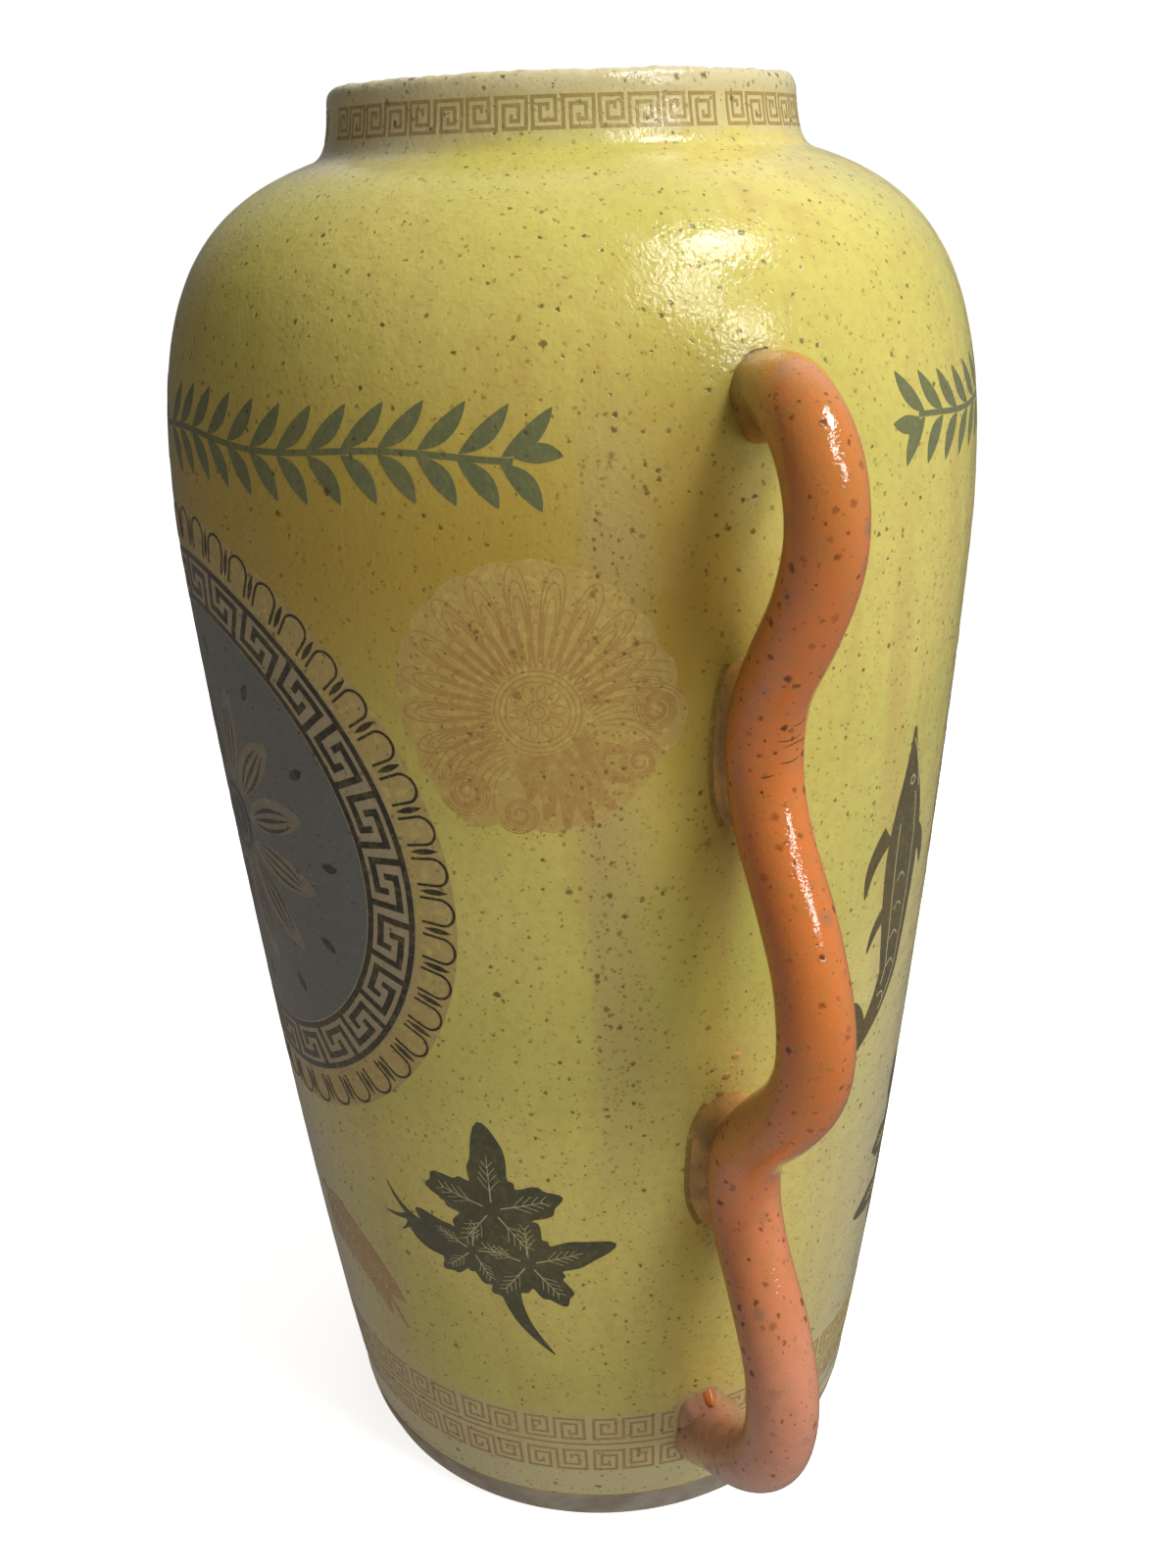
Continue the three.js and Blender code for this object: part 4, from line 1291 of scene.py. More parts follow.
# Each crack across a coil, in millimetres: how far below the first one it lies, its two ends, and its bend
COIL_CRACKS = ((0, -2, 6, 0.8), (3.2, 0, 8, -0.5), (9, -1, 6, 0.6), (-6, 2, 7, 0.4), (14, -6, -2, 0.3))
CRACKED_HEIGHT = 329 * MM
CRACK_WIDTH = 0.5 * MM


class AMPHORA_OT_cracks(bpy.types.Operator):
    """Draw the drying cracks on the coils and at their upper roots"""
    bl_idname = "amphora.cracks"
    bl_label = "Cracks"

    def execute(self, context):
        wall = Wall(context.scene.amphora_body)
        sizes = context.scene.amphora_handle
        root = BELLY_HEIGHT + sizes.root
        width = CRACK_WIDTH * petal_width(np.linspace(0, 1, 14), 0.6)
        cracks = Print(wall, 0.12 * MM)
        for side in SIDES.values():
            coil = Coil(wall, sizes, side)
            middle = int(np.argmin(np.abs(coil.line[:, 1] - CRACKED_HEIGHT)))
            for down, first, last, bend in COIL_CRACKS:
                path = arc((first * MM, down * MM), (last * MM, (down - 0.8) * MM), bend * MM, 14)
                grid = ribbon(path, width)
                step, turn = coil.steps[middle] + grid[..., 1], grid[..., 0] / coil.radius[middle]
                cracks.shell.slab(coil.point(step, turn, 0.03 * MM), coil.point(step, turn, -0.3 * MM))
        for face in (0.0, math.pi):
            beside = face + sizes.drift / wall.radius_at(root)
            path = arc((-7 * MM, 0), (4 * MM, 0.4 * MM), 1.5 * MM, 14)
            cracks.at(beside, root + 9.8 * MM).stroke(path, width)
            cracks.at(beside + 0.002, root + 11.6 * MM).blob(oval(0.7 * MM, 0.5 * MM, 2, 0.1, 1, 20))
        cracks.finish("cracks", "crack")
        return {"FINISHED"}


# Key bands

KEY_HALF = np.array([(0, 4), (4, 4), (4, 0), (1, 0), (1, 3), (3, 3), (3, 1), (2, 1), (2, 1.8)], float)
NECK_CELL = 2.1 * MM, 1.98 * MM
NECK_STROKE = 0.95 * MM
NECK_PITCH = 14.3
NECK_STRIPS = ((18.6, 7), (121.1, 7), (223.6, 3), (276.1, 7))
NECK_BAND = 485.8 * MM
FOOT_CELL = 2.68 * MM, 2.58 * MM
FOOT_STROKE = 1.05 * MM
FOOT_PAIRS = 27
FOOT_FIRST = -17.4
FOOT_ROWS = ((51.0 * MM, 1), (34.2 * MM, -1))
FOOT_LINE = 42.9 * MM
FOOT_LINE_WIDTH = 0.95 * MM
FOOT_GROUND = 42.6 * MM
FOOT_GROUND_WIDTH = 29.5 * MM


def key_pair(cell_width, cell_height, flip=1):
    """One unbroken key line: a square spiral winds out, steps over the middle line, and winds in again."""
    other = np.array([0, 4]) + KEY_HALF * [-1, -1]
    path = np.concatenate([other[::-1], KEY_HALF]) - [0, 2]
    return refined(path * [cell_width, cell_height * flip], 2 * MM)


class AMPHORA_OT_key_bands(bpy.types.Operator):
    """Print the key bands on the neck and above the foot"""
    bl_idname = "amphora.key_bands"
    bl_label = "Key bands"

    def execute(self, context):
        wall = Wall(context.scene.amphora_body)
        neck = Print(wall)
        pair = key_pair(*NECK_CELL)
        for first, pairs in NECK_STRIPS:
            for k in range(pairs):
                middle = math.radians(first + NECK_PITCH * (k + 0.5) - 0.6)
                neck.at(middle, NECK_BAND).stroke(pair, NECK_STROKE)
        neck.finish("neck_key_band", "ochre")
        foot = Print(wall)
        for height, flip in FOOT_ROWS:
            pair = key_pair(*FOOT_CELL, flip)
            for k in range(FOOT_PAIRS):
                middle = math.radians(FOOT_FIRST + 360 * k / FOOT_PAIRS)
                foot.at(middle, height).stroke(pair, FOOT_STROKE)
        wall_ring(wall, foot, FOOT_LINE, FOOT_LINE_WIDTH)
        foot.finish("foot_key_bands", "ochre")
        ground = Print(wall, PRINT_LIFT * 0.35)
        wall_ring(wall, ground, FOOT_GROUND, FOOT_GROUND_WIDTH, 12)
        ground.finish("foot_band_ground", "pale")
        return {"FINISHED"}


def wall_ring(wall, figure, height, width, across=2):
    """A level stripe all round the pot."""
    azimuth = around(400)[:, None]
    rows = height + width * np.linspace(-0.5, 0.5, across)[None]
    top = wall.point(azimuth, rows, figure.next_lift())
    figure.shell.slab(top, wall.point(azimuth, rows, PRINT_ROOT), closed=True)


# Laurel band

LAUREL_HEIGHT = 402.5 * MM
LAUREL_GAP = 25.5
LAUREL_PITCH = 11.5 * MM
STEM_WIDTH = 1.7 * MM
STEM_SWAY, STEM_WAVE = 1.2 * MM, 14 * MM
LEAF_REACH, LEAF_RISE, LEAF_WIDTH = 12.5 * MM, 13.2 * MM, 5.4 * MM


class AMPHORA_OT_laurel(bpy.types.Operator):
    """Print the laurel band on the shoulder"""
    bl_idname = "amphora.laurel"
    bl_label = "Laurel band"

    def execute(self, context):
        wall = Wall(context.scene.amphora_body)
        band = Print(wall)
        half = math.radians(90 - LAUREL_GAP) * float(wall.radius_at(LAUREL_HEIGHT))
        for middle in (-math.pi / 2, math.pi / 2):
            band.at(middle, LAUREL_HEIGHT)
            for way in (-1, 1):
                laurel_branch(band, way, half)
        band.finish("laurel_band", "slate")
        return {"FINISHED"}


def laurel_branch(band, way, half):
    """Half a band: a stem that sways as a sine, pairs of pointed leaves along it, and a leaf at its tip."""
    count = int(2 * half / LAUREL_PITCH) // 2
    leaf_shape = petal_width(np.linspace(0, 1, 16), 0.8)
    stem = np.stack([way * np.linspace(0, half - 4 * MM, 120), np.zeros(120)], 1)
    stem[:, 1] = STEM_SWAY * np.sin(stem[:, 0] / STEM_WAVE)
    band.stroke(stem, STEM_WIDTH)
    for k in range(count):
        foot = np.array([way * (4 * MM + k * LAUREL_PITCH), 0.0])
        foot[1] = STEM_SWAY * math.sin(foot[0] / STEM_WAVE)
        for up in (-1, 1):
            tip = foot + np.array([way * LEAF_REACH, up * LEAF_RISE])
            leaf = arc(foot + [way * MM, up * MM], tip, -way * up * 1.4 * MM, 16)
            band.stroke(leaf, LEAF_WIDTH * leaf_shape, 4)
    foot = np.array([way * (half - 4 * MM), 0.0])
    leaf = arc(foot, foot + [way * 13 * MM, 0], 1 * MM, 16)
    band.stroke(leaf, 5.2 * MM * leaf_shape, 4)

# Roundels

ROUNDEL_AZIMUTH = -85.1
ROUNDEL_HEIGHT = 273.5 * MM
FIELD_RADIUS = 73.5 * MM
RING_RADIUS = 91.5 * MM
RING_LINE_INSET = 1.5 * MM
RING_LINE_WIDTH = 2.0 * MM
OUTER_RADIUS = 105 * MM
MEANDER_UNITS = 25
MEANDER_WIDTH = 2.2 * MM
# Half a meander unit: across in eighths of a unit, and out in eighths of the band
HOOK = np.array([(3, 4), (3, -2), (-1, -2), (-1, 0.2)], float) / 8
DART_UNITS = 46
DART_RADIUS = RING_RADIUS + 2.2 * MM
TONGUE_WIDTH = 0.85 * MM
TONGUE_HEIGHT = 6.5 * MM
DART_WIDTH = 1.9 * MM
PETALS = 12
PETAL_WIDTH = 12.5 * MM
VEIN_WIDTH = 1.5 * MM
TIP_WIDTH = 3.4 * MM


def circle(radius, count=220):
    """Points of a circle, from the right and to the left."""
    return radius * directions(around(count))


def bent(points, radius):
    """Flat points bent round a circle: x runs along the circle at the radius, and y outwards."""
    turn = points[..., 0] / radius
    reach = radius + points[..., 1]
    return np.stack([reach * np.cos(turn), reach * np.sin(turn)], -1)


class AMPHORA_OT_roundels(bpy.types.Operator):
    """Print the two roundels: a blue grey field with a rosette, a meander ring, and a ring of darts"""
    bl_idname = "amphora.roundels"
    bl_label = "Roundels"

    def execute(self, context):
        wall = Wall(context.scene.amphora_body)
        for name, turn in (("front", 0.0), ("back", math.pi)):
            azimuth = math.radians(ROUNDEL_AZIMUTH) + turn
            for part, radius, rings, lift in (
                    ("haze", OUTER_RADIUS, 36, 0.15), ("ground", RING_RADIUS, 32, 0.4),
                    ("field", FIELD_RADIUS, 26, 0.7)):
                disc = Print(wall, PRINT_LIFT * lift)
                disc.at(azimuth, ROUNDEL_HEIGHT).blob(circle(radius), rings=rings)
                disc.finish(f"{name}_roundel_{part}", part)
            lines = Print(wall, PRINT_LIFT * 1.3).at(azimuth, ROUNDEL_HEIGHT)
            for radius in (FIELD_RADIUS + RING_LINE_INSET, RING_RADIUS - RING_LINE_INSET):
                lines.stroke(circle(radius), RING_LINE_WIDTH, closed=True)
            meander_ring(lines)
            dart_ring(lines)
            lines.finish(f"{name}_roundel_lines", "umber")
            rosette(wall, name, azimuth)
        return {"FINISHED"}


def meander_ring(lines):
    """A meander between two circles. Each unit is two lines: one leaves the outer circle, the other the inner
    one. Each crosses three quarters of the band, runs half a unit along the ring and hooks back to the middle
    of the band, and half a turn about the unit's middle swaps them."""
    inner, outer = FIELD_RADIUS + RING_LINE_INSET, RING_RADIUS - RING_LINE_INSET
    radius = 0.5 * (inner + outer)
    pitch = 2 * math.pi * radius / MEANDER_UNITS
    hook = HOOK * [pitch, outer - inner]
    for k in range(MEANDER_UNITS):
        for path in (hook, -hook):
            line = refined(path + [k * pitch, 0], 1.5 * MM)
            lines.stroke(bent(line, radius), MEANDER_WIDTH)


def dart_ring(lines):
    """Tongues and darts outside the ring: outlines that end in a half circle, with a pointed dart between
    each pair."""
    pitch = 2 * math.pi * DART_RADIUS / DART_UNITS
    turn = np.linspace(0, np.pi, 15)
    half = 0.33 * pitch
    end = np.stack([-half * np.cos(turn), TONGUE_HEIGHT + half * np.sin(turn)], 1)
    tongue = np.concatenate([[(-half, 0)], end, [(half, 0)]])
    dart_shape = DART_WIDTH * petal_width(np.linspace(0, 1, 12), 0.9)
    for k in range(DART_UNITS):
        middle = np.array([(k + 0.5) * pitch, 0])
        outline = refined(tongue + middle, 1.5 * MM)
        lines.stroke(bent(outline, DART_RADIUS), TONGUE_WIDTH)
        dart = arc((k * pitch, 0.5 * MM), (k * pitch, 9.5 * MM), 0, 12)
        lines.stroke(bent(dart, DART_RADIUS), dart_shape)


def rosette(wall, name, azimuth):
    """Twelve petals round a ring, each along a spine that sways as a sine, with three darker veins, and a
    dark tip between each pair."""
    share = np.linspace(0, 1, 22)
    light = Print(wall, PRINT_LIFT * 1.1).at(azimuth, ROUNDEL_HEIGHT)
    dark = Print(wall, PRINT_LIFT * 1.45).at(azimuth, ROUNDEL_HEIGHT)
    for k in range(PETALS):
        turn = 2 * math.pi * (k + 0.5) / PETALS
        spine = np.stack([(14 + 38 * share) * MM, 1.6 * MM * np.sin(3 * share + k)], 1)
        light.stroke(turned_by(spine, turn), PETAL_WIDTH * petal_width(share, 0.6), 7)
        for off in (-0.16, 0.0, 0.16):
            vein = np.stack([(18 + 27 * share) * MM, off * 22 * MM * np.sin(0.3 + 2.4 * share)], 1)
            dark.stroke(turned_by(vein, turn), VEIN_WIDTH * petal_width(share, 0.9))
        tip = turned_by(np.stack([(56 + 7 * share) * MM, 0 * share], 1), turn + math.pi / PETALS)
        dark.stroke(tip, TIP_WIDTH * petal_width(share, 0.7), 3)
    for radius, width in ((11 * MM, 2.2 * MM), (5 * MM, 5 * MM)):
        dark.stroke(circle(radius, 60), width, 3, closed=True)
    light.finish(f"{name}_rosette_petals", "bloom")
    dark.finish(f"{name}_rosette_lines", "umber")


# Figures: palmette, leaf spray, dolphin, feathered leaf

def spiral(start_radius, turns, count=60, way=1):
    """A spiral that winds in evenly from a radius to a fifth of it."""
    share = np.linspace(0, 1, count)
    radius = start_radius * (1 - 0.8 * share)
    turn = way * 2 * np.pi * turns * share
    return np.stack([radius * np.cos(turn), radius * np.sin(turn)], 1)


def palmette(figure, tint, tilt):
    """A fan of ribbed leaves in two rows over a ringed heart, with side scrolls and tufts of fine waved
    lines, on a faint tint whose edge follows the leaves."""
    def draw(path, width=0.5, across=2):
        figure.stroke(turned_by(path, tilt), width * MM, across)

    turn = around(240)
    out, up = np.cos(turn), np.sin(turn)
    reach = (38 + 4.5 * np.clip(up, -0.4, 1) + 1.3 * np.abs(np.sin(10.6 * (turn - np.pi / 2)))
             + 5 * np.exp(-((np.abs(out) - 0.86) / 0.12) ** 2) * (up < 0)) * MM
    tint.blob(turned_by(reach[:, None] * directions(turn), tilt), rings=14)
    loop = np.linspace(0, 2 * np.pi, 44)
    swing = (1 - np.cos(loop)) / 2
    share = np.linspace(0, 1, 24)
    for count, tip, fat, scales in ((13, 42, 4.3, (1, 0.72, 0.44)), (12, 31, 2.8, (1, 0.5))):
        for k in range(count):
            lean = (k - (count - 1) / 2) * math.radians(17)
            tall = tip * (1 - 0.05 * abs(lean) ** 2)
            for scale in scales:
                along = (13 + (tall - 13) * swing * (0.5 + 0.5 * scale)) * MM
                side = fat * scale * np.sin(loop) * (0.25 + 0.75 * swing) * MM
                draw(turned_by(np.stack([side, along], 1), -lean), 0.45)
    for radius in (12.2, 10.6, 9, 3.2, 2):
        figure.stroke(turned_by(circle(radius * MM, 60), tilt), 0.5 * MM, closed=True)
    for k in range(10):
        along = (3.6 + 4.6 * swing) * MM
        draw(turned_by(np.stack([1.2 * np.sin(loop) * MM, along], 1), k * math.pi / 5), 0.4)
    for way in (-1, 1):
        for radius, turns, x, y in ((8, 2.2, 30, -14), (6.5, 2, 19, -26)):
            for scale in (1, 0.86, 0.7):
                scroll = spiral(radius * scale * MM, turns, 60, way) * [way, 1]
                draw(scroll + np.array([way * x, y]) * MM, 0.45)
        for k in range(9):
            start = np.array((way * (12 + 0.3 * k), -1.5 - 1.2 * k))
            end = np.array((way * (39 - 1.7 * k), -3 - 2.6 * k))
            draw(arc(start * MM, end * MM, way * (5 - 0.3 * k) * MM, 24), 0.45)
    for j in range(-3, 4):
        for k in range(-3, 4):
            wave = (1.5 * np.sin(5 * share + j) + 0.85 * k * (1 - 0.75 * share ** 3)) * MM
            fall = (-13 - (25 - 1.2 * j * j) * share) * MM
            draw(turned_by(np.stack([wave, fall], 1), math.radians(11.5 * j)), 0.4)


def ivy_leaf(size, seed=0.0, count=120):
    """Outline of a lobed leaf: a radius with five lobes, small teeth and a drawn-out tip upwards."""
    turn = around(count)
    lobes = 0.72 + 0.2 * np.cos(5 * (turn - np.pi / 2)) + 0.045 * np.cos(19 * turn + seed)
    tip = 0.42 * np.exp(-((turn - np.pi / 2) / 0.22) ** 2)
    return size * (lobes + tip)[:, None] * directions(turn)


def leaf_spray(dark, pale, tilt, mirror=1):
    """Three overlapping lobed leaves on a tapering stalk, with a small bud, and veins left open."""
    flip = np.array([mirror, 1.0])
    leaves = ((0, 14, 27, 0.0, 0.1), (11, -8, 23, -1.25, 1.7), (-9, -6, 18, 1.1, 3.1))
    for x, y, size, lean, seed in leaves:
        centre = turned_by(np.array([x, y]) * MM * flip, tilt)
        outline = turned_by(turned_by(ivy_leaf(size * MM, seed), lean) * flip, tilt, centre)
        dark.blob(outline if mirror > 0 else outline[::-1], centre, 7)
        for k in range(-2, 3):
            vein_turn = lean + math.pi / 2 + k * 2 * math.pi / 5
            share = np.linspace(0.12, 0.86 if k == 0 else 0.7, 12)[:, None]
            vein = share * size * MM * np.array([[math.cos(vein_turn), math.sin(vein_turn)]])
            pale.stroke(turned_by(vein * flip, tilt, centre), 0.5 * MM * (1.2 - share[:, 0]))
            for out in (0.3, 0.42, 0.54, 0.66):
                for side in (-0.62, 0.62):
                    start = out * size * MM * np.array([math.cos(vein_turn), math.sin(vein_turn)])
                    rib_turn = vein_turn + side
                    rib = 0.2 * (1.05 - out) * size * MM * np.array([math.cos(rib_turn), math.sin(rib_turn)])
                    pale.stroke(turned_by(arc(start, start + 1.6 * rib, 0.2 * MM, 6) * flip, tilt, centre),
                                0.24 * MM)
    share = np.linspace(0, 1, 30)
    stalk = arc(np.array([3, -8]) * MM * flip, np.array([17, -50]) * MM * flip, -5 * MM * mirror, 30)
    dark.stroke(turned_by(stalk, tilt), (9.5 * (1 - share) ** 0.8 + 0.3) * MM, 5)
    side = arc(np.array([-8, -10]) * MM * flip, np.array([-35, 2]) * MM * flip, 4 * MM * mirror, 24)
    share = np.linspace(0, 1, 24)
    dark.stroke(turned_by(side, tilt), (2.0 + 8.5 * np.sin(np.pi * share ** 1.6)) * MM, 5)
    for end in ((-42, 13), (-45, -1), (-38, -7)):
        hair = arc(np.array([-33, 1]) * MM * flip, np.array(end) * MM * flip, 1 * MM, 10)
        dark.stroke(turned_by(hair, tilt), np.linspace(3.0, 0.4, 10) * MM)


def dolphin(dark, pale):
    """A dolphin diving down a long S: beak up, fluke down, fins at the sides, and open lines along it."""
    share = np.linspace(0, 1, 90)
    spine = np.stack([(4 * np.sin(2.2 * share + 0.3) - 22 * np.maximum(share - 0.72, 0) ** 1.15 * 3.2) * MM,
                      (60 - 122 * share + 24 * np.maximum(share - 0.8, 0) ** 1.3 * 3) * MM], 1)
    body = np.interp(share, [0, 0.06, 0.12, 0.2, 0.34, 0.5, 0.7, 0.85, 1.0],
                     [1.5, 4.5, 8.5, 17, 25, 23, 15, 9.5, 6.0]) * MM
    dark.stroke(spine, smoothed(body[:, None], 4)[:, 0], 9)
    fins = ((np.array([10, 20]), np.array([21, 4]), 8.5, 3), (np.array([-9, 26]), np.array([-19, 6]), 8, -3),
            (np.array([-3, -2]), np.array([-14, -16]), 6, -2))
    fin_share = np.linspace(0, 1, 16)
    for start, end, width, bend in fins:
        path = arc(start * MM, end * MM, bend * MM, 16)
        dark.stroke(path, (width * (1 - fin_share) ** 0.7 + 0.4) * MM, 4)
    tail = spine[-1]
    for end, bend in (((-15, 17), 3), ((-4, 20), -3)):
        path = arc(tail, tail + np.array(end) * MM, bend * MM, 16)
        dark.stroke(path, (7.5 * (1 - fin_share) ** 0.6 + 0.4) * MM, 4)
    run = np.gradient(spine, axis=0)
    normal = np.stack([-run[:, 1], run[:, 0]], 1) / np.linalg.norm(run, axis=1, keepdims=True)
    half = smoothed(body[:, None], 4) / 2
    for side, first, last in ((0.55, 18, 76), (-0.45, 24, 70)):
        pale.stroke((spine + normal * half * side)[first:last], 0.6 * MM)
    eye = spine[14] + normal[14] * half[14] * 0.2
    pale.stroke(circle(1.5 * MM, 20) + eye, 0.6 * MM, closed=True)
    pale.stroke(arc(spine[3], spine[17] + normal[17] * half[17] * 0.8, 1 * MM, 14), 0.6 * MM)
    for k in (40, 48, 56, 64, 72):
        scallop = arc(spine[k] - normal[k] * 2.6 * MM, spine[k] + normal[k] * 2.6 * MM, 2.2 * MM, 10)
        pale.stroke(scallop, 0.55 * MM)


def feathered_leaf(figure, tilt):
    """A long leaf cut into feathers that fan from a curved rib."""
    rib = arc((-24 * MM, 24 * MM), (20 * MM, -22 * MM), 7 * MM, 30)
    figure.stroke(turned_by(rib, tilt), 2.0 * MM)
    share = np.linspace(0, 1, 14)
    for k in range(11):
        start = rib[2 + 2 * k]
        for side in (-1, 1):
            reach = (20 - 0.9 * k) * MM
            lean = math.radians(-48 + side * 42)
            end = start + reach * np.array([math.cos(lean), math.sin(lean)])
            feather = turned_by(arc(start, end, side * 1.6 * MM, 14), tilt)
            figure.stroke(feather, 4.0 * MM * petal_width(share, 0.6), 3)


# Where each figure stands: its azimuth in degrees, and its height. It stands again half a turn on
PALMETTE_AT = -25.8, 333 * MM
FEATHERED_AT = -72, 100 * MM
UPPER_SPRAY_AT = -38, 139 * MM
DOLPHIN_AT = 31.5, 246 * MM
LOWER_SPRAY_AT = 55, 118 * MM


def all_at(prints, place, turn):
    """Moves prints to a place of a figure, turned round the pot."""
    return [one.at(math.radians(place[0]) + turn, place[1]) for one in prints]


class AMPHORA_OT_figures(bpy.types.Operator):
    """Print the palmettes, leaf sprays, dolphins and feathered leaves"""
    bl_idname = "amphora.figures"
    bl_label = "Figures"

    def execute(self, context):
        wall = Wall(context.scene.amphora_body)
        rust, olive, brown = Print(wall), Print(wall), Print(wall)
        tint = Print(wall, PRINT_LIFT * 0.5)
        pale = Print(wall, PRINT_LIFT * 1.6)
        for turn in (0.0, math.pi):
            palmette(*all_at((rust, tint), PALMETTE_AT, turn), math.radians(24))
            feathered_leaf(*all_at((rust,), FEATHERED_AT, turn), 0.1)
            leaf_spray(*all_at((olive, pale), UPPER_SPRAY_AT, turn), 0.0)
            dolphin(*all_at((brown, pale), DOLPHIN_AT, turn))
            leaf_spray(*all_at((brown, pale), LOWER_SPRAY_AT, turn), 0.35, -1)
        tint.finish("palmette_tints", "tint")
        rust.finish("rust_line_figures", "rust")
        olive.finish("leaf_sprays", "olive")
        brown.finish("dolphins", "brown")
        pale.finish("open_lines", "cream")
        return {"FINISHED"}


# Studio

class AMPHORA_OT_studio(bpy.types.Operator):
    """Lay the white paper sweep, hang the window light and place the camera"""
    bl_idname = "amphora.studio"
    bl_label = "Studio"

    def execute(self, context):
        studio = context.scene.amphora_studio
        paper_sweep(studio)
        lights(context.scene, studio)
        room_light(context.scene, studio)
        place_camera(context.scene, studio)
        context.scene.view_settings.view_transform = "Standard"
        return {"FINISHED"}


SWEEP_COLUMNS = 128


def paper_sweep(studio):
    """A round floor whose edge curves up all round, so that it stands behind the pot from every side: a level
    line, a quarter circle and an upright line, turned about the axis."""
    flat = np.linspace(0.0, studio.floor_radius, 20)[1:]
    turn = np.linspace(0, np.pi / 2, 24)[1:]
    bend = studio.cove_height * 0.4
    radius = np.concatenate([flat, studio.floor_radius + bend * np.sin(turn), [studio.floor_radius + bend]])
    height = np.concatenate([flat * 0, bend * (1 - np.cos(turn)), [studio.cove_height]])
    azimuth = around(SWEEP_COLUMNS)[:, None]
    points = np.stack([radius * np.cos(azimuth), radius * np.sin(azimuth), height + 0 * azimuth], -1)
    points = points.reshape(-1, 3)
    rows = len(radius)
    quads = grid_faces(SWEEP_COLUMNS, rows, wrap_rows=True)[:, ::-1]
    i = np.arange(SWEEP_COLUMNS)
    middle = np.stack([np.full(SWEEP_COLUMNS, len(points)), i * rows, (i + 1) % SWEEP_COLUMNS * rows], 1)
    mesh = bpy.data.meshes.new("paper_sweep")
    mesh.from_pydata(np.concatenate([points, [[0, 0, 0]]]).tolist(), [], quads.tolist() + middle.tolist())
    mesh.polygons.foreach_set("use_smooth", np.ones(len(mesh.polygons), bool))
    mesh.materials.append(floor_paper(studio))
    sweep = bpy.data.objects.new("paper_sweep", mesh)
    bpy.context.scene.collection.objects.link(sweep)
    sweep.visible_diffuse = False
    sweep.visible_glossy = False


def towards(azimuth, elevation):
    """The unit vector that points to an azimuth and an elevation."""
    return Vector((math.cos(elevation) * math.cos(azimuth), math.cos(elevation) * math.sin(azimuth),
                   math.sin(elevation)))


# Each light, and the first word of its numbers in the studio's properties
LIGHTS = {"window": "window", "side_pane": "pane", "low_pane": "sill", "ceiling": "ceiling", "fill": "fill"}


def lights(scene, studio):
    """A window of three panes, whose shapes show in the glaze, and two fills that only the clay feels: the
    ceiling and the bright side of the room. Each is a rectangle that faces the middle of the pot."""
    for name, word in LIGHTS.items():
        azimuth, elevation, width, height, power = (
            getattr(studio, f"{word}_{end}") for end in ("azimuth", "elevation", "width", "height", "power"))
        light = bpy.data.lights.new(name, "AREA")
        light.shape, light.size, light.size_y = "RECTANGLE", width, height
        light.energy = power
        lamp = bpy.data.objects.new(name, light)
        direction = towards(azimuth, elevation)
        lamp.location = Vector((0, 0, 0.6 * RIM_TOP)) + direction * studio.window_distance
        lamp.rotation_euler = direction.to_track_quat("Z", "Y").to_euler()
        lamp.visible_glossy = name not in ("ceiling", "fill")
        scene.collection.objects.link(lamp)


def lobe(tree, at, azimuth, elevation, power, strength):
    """Light from one side of the room: strength times the cosine from its middle direction, to a power."""
    direction = tuple(towards(math.radians(azimuth), math.radians(elevation)))
    cosine = add_node(tree, "VectorMath", {0: at, 1: direction}, "Value", operation="DOT_PRODUCT")
    facing = add_node(tree, "Math", {0: cosine, 1: 0.0}, operation="MAXIMUM")
    narrowed = add_node(tree, "Math", {0: facing, 1: power}, operation="POWER")
    return add_node(tree, "Math", {0: narrowed, 1: strength}, operation="MULTIPLY")


def room_light(scene, studio):
    """The room: dim, with a warm bounce from below on the left, the white table, and pale walls at both
    sides. The table is cluttered and dark where the glaze mirrors it, so gloss sees less of the light from
    below."""
    world = bpy.data.worlds.new("room")
    world.use_nodes = True
    tree = world.node_tree
    at = add_node(tree, "TexCoord", output="Generated")
    mirrored = add_node(tree, "LightPath", output="Is Glossy Ray")
    clutter = add_node(tree, "Math", {0: mirrored, 1: studio.clutter}, operation="MULTIPLY")
    dimmed = add_node(tree, "Math", {0: 1.0, 1: clutter}, operation="SUBTRACT")
    low_left = add_node(tree, "Math", {0: lobe(tree, at, -100, -50, 2, studio.bounce), 1: dimmed},
                        operation="MULTIPLY")
    below = add_node(tree, "Math", {0: lobe(tree, at, 0, -90, 1, 0.5 * studio.bounce), 1: dimmed},
                     operation="MULTIPLY")
    sides = add_node(tree, "Math", {0: lobe(tree, at, 150, 40, 6, 4 * studio.sheen),
                                    1: lobe(tree, at, 75, 0, 3, studio.sheen)}, operation="ADD")
    white = add_node(tree, "Math", {0: below, 1: sides}, operation="ADD")
    neutral = add_node(tree, "Math", {0: white, 1: studio.dimness}, operation="ADD")
    total = add_node(tree, "Math", {0: low_left, 1: neutral}, operation="ADD")
    warm = add_node(tree, "Math", {0: low_left, 1: total}, operation="DIVIDE")
    colour = coats(tree, (1.0, 0.98, 0.94, 1), (warm, (1.0, 0.86, 0.7)))
    tree.links.new(colour, tree.nodes["Background"].inputs["Color"])
    tree.links.new(total, tree.nodes["Background"].inputs["Strength"])
    scene.world = world


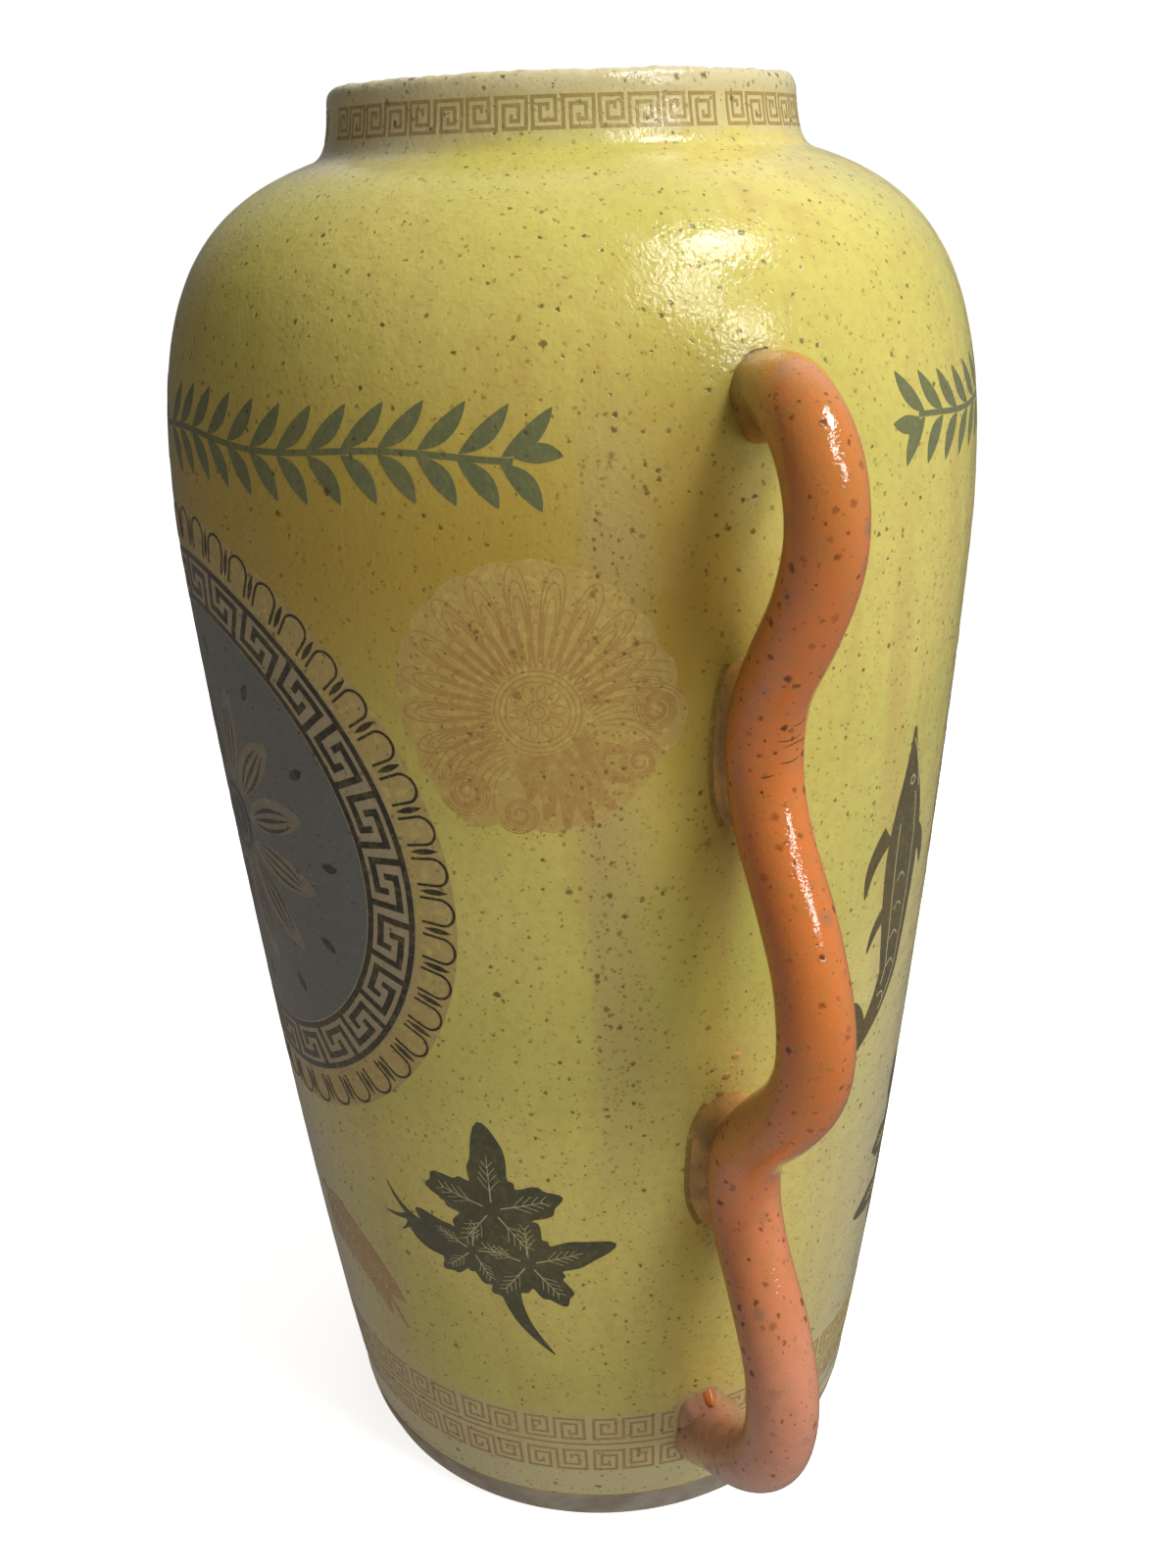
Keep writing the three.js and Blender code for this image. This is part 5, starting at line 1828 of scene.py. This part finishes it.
def place_camera(scene, studio):
    """The photograph's viewpoint: on a circle round the pot, tilted down, turned and rolled a little."""
    camera = bpy.data.cameras.new("camera")
    camera.lens = studio.camera_lens
    camera.sensor_width = 36
    camera.clip_start = 0.01
    eye = bpy.data.objects.new("camera", camera)
    side, tilt, roll = studio.camera_azimuth, studio.camera_tilt, studio.camera_roll
    heading = side + math.pi - studio.camera_turn
    forward = towards(heading, -tilt)
    level = Vector((math.sin(heading), -math.cos(heading), 0))
    upright = level.cross(forward)
    right = level * math.cos(roll) + upright * math.sin(roll)
    up = upright * math.cos(roll) - level * math.sin(roll)
    turn = Matrix((right, up, -forward)).transposed().to_4x4()
    place = towards(side, 0) * studio.camera_distance
    eye.matrix_world = Matrix.Translation(place + Vector((0, 0, studio.camera_height))) @ turn
    scene.collection.objects.link(eye)
    scene.camera = eye


OPERATORS = (AMPHORA_OT_body, AMPHORA_OT_handles, AMPHORA_OT_luting, AMPHORA_OT_cracks, AMPHORA_OT_key_bands,
             AMPHORA_OT_laurel, AMPHORA_OT_roundels, AMPHORA_OT_figures, AMPHORA_OT_studio)
GROUPS = {"amphora_body": BodySizes, "amphora_handle": HandleSizes, "amphora_colours": Colours,
          "amphora_studio": Studio}


class AMPHORA_PT_panel(bpy.types.Panel):
    """Lists the steps that build the amphora, and their sizes and colours"""
    bl_idname = "AMPHORA_PT_panel"
    bl_label = "Stoneware amphora"
    bl_space_type = "VIEW_3D"
    bl_region_type = "UI"
    bl_category = "Amphora"

    def draw(self, context):
        for operator in OPERATORS:
            self.layout.operator(operator.bl_idname)
        for name, group in GROUPS.items():
            box = self.layout.box()
            for key in group.__annotations__:
                box.prop(getattr(context.scene, name), key)


def register():
    for group in GROUPS.values():
        bpy.utils.register_class(group)
    for operator in OPERATORS:
        bpy.utils.register_class(operator)
    bpy.utils.register_class(AMPHORA_PT_panel)
    for name, group in GROUPS.items():
        setattr(bpy.types.Scene, name, bpy.props.PointerProperty(type=group))


def unregister():
    for name in GROUPS:
        delattr(bpy.types.Scene, name)
    bpy.utils.unregister_class(AMPHORA_PT_panel)
    for operator in reversed(OPERATORS):
        bpy.utils.unregister_class(operator)
    for group in reversed(list(GROUPS.values())):
        bpy.utils.unregister_class(group)


def corners(box):
    """The two corners of a box as plain lists."""
    return [list(box[0]), list(box[1])]


def main():
    register()
    bpy.ops.amphora.body()
    bpy.ops.amphora.handles()
    bpy.ops.amphora.luting()
    bpy.ops.amphora.cracks()
    bpy.ops.amphora.key_bands()
    bpy.ops.amphora.laurel()
    bpy.ops.amphora.roundels()
    bpy.ops.amphora.figures()
    bpy.ops.amphora.studio()


if __name__ == "__main__":
    main()
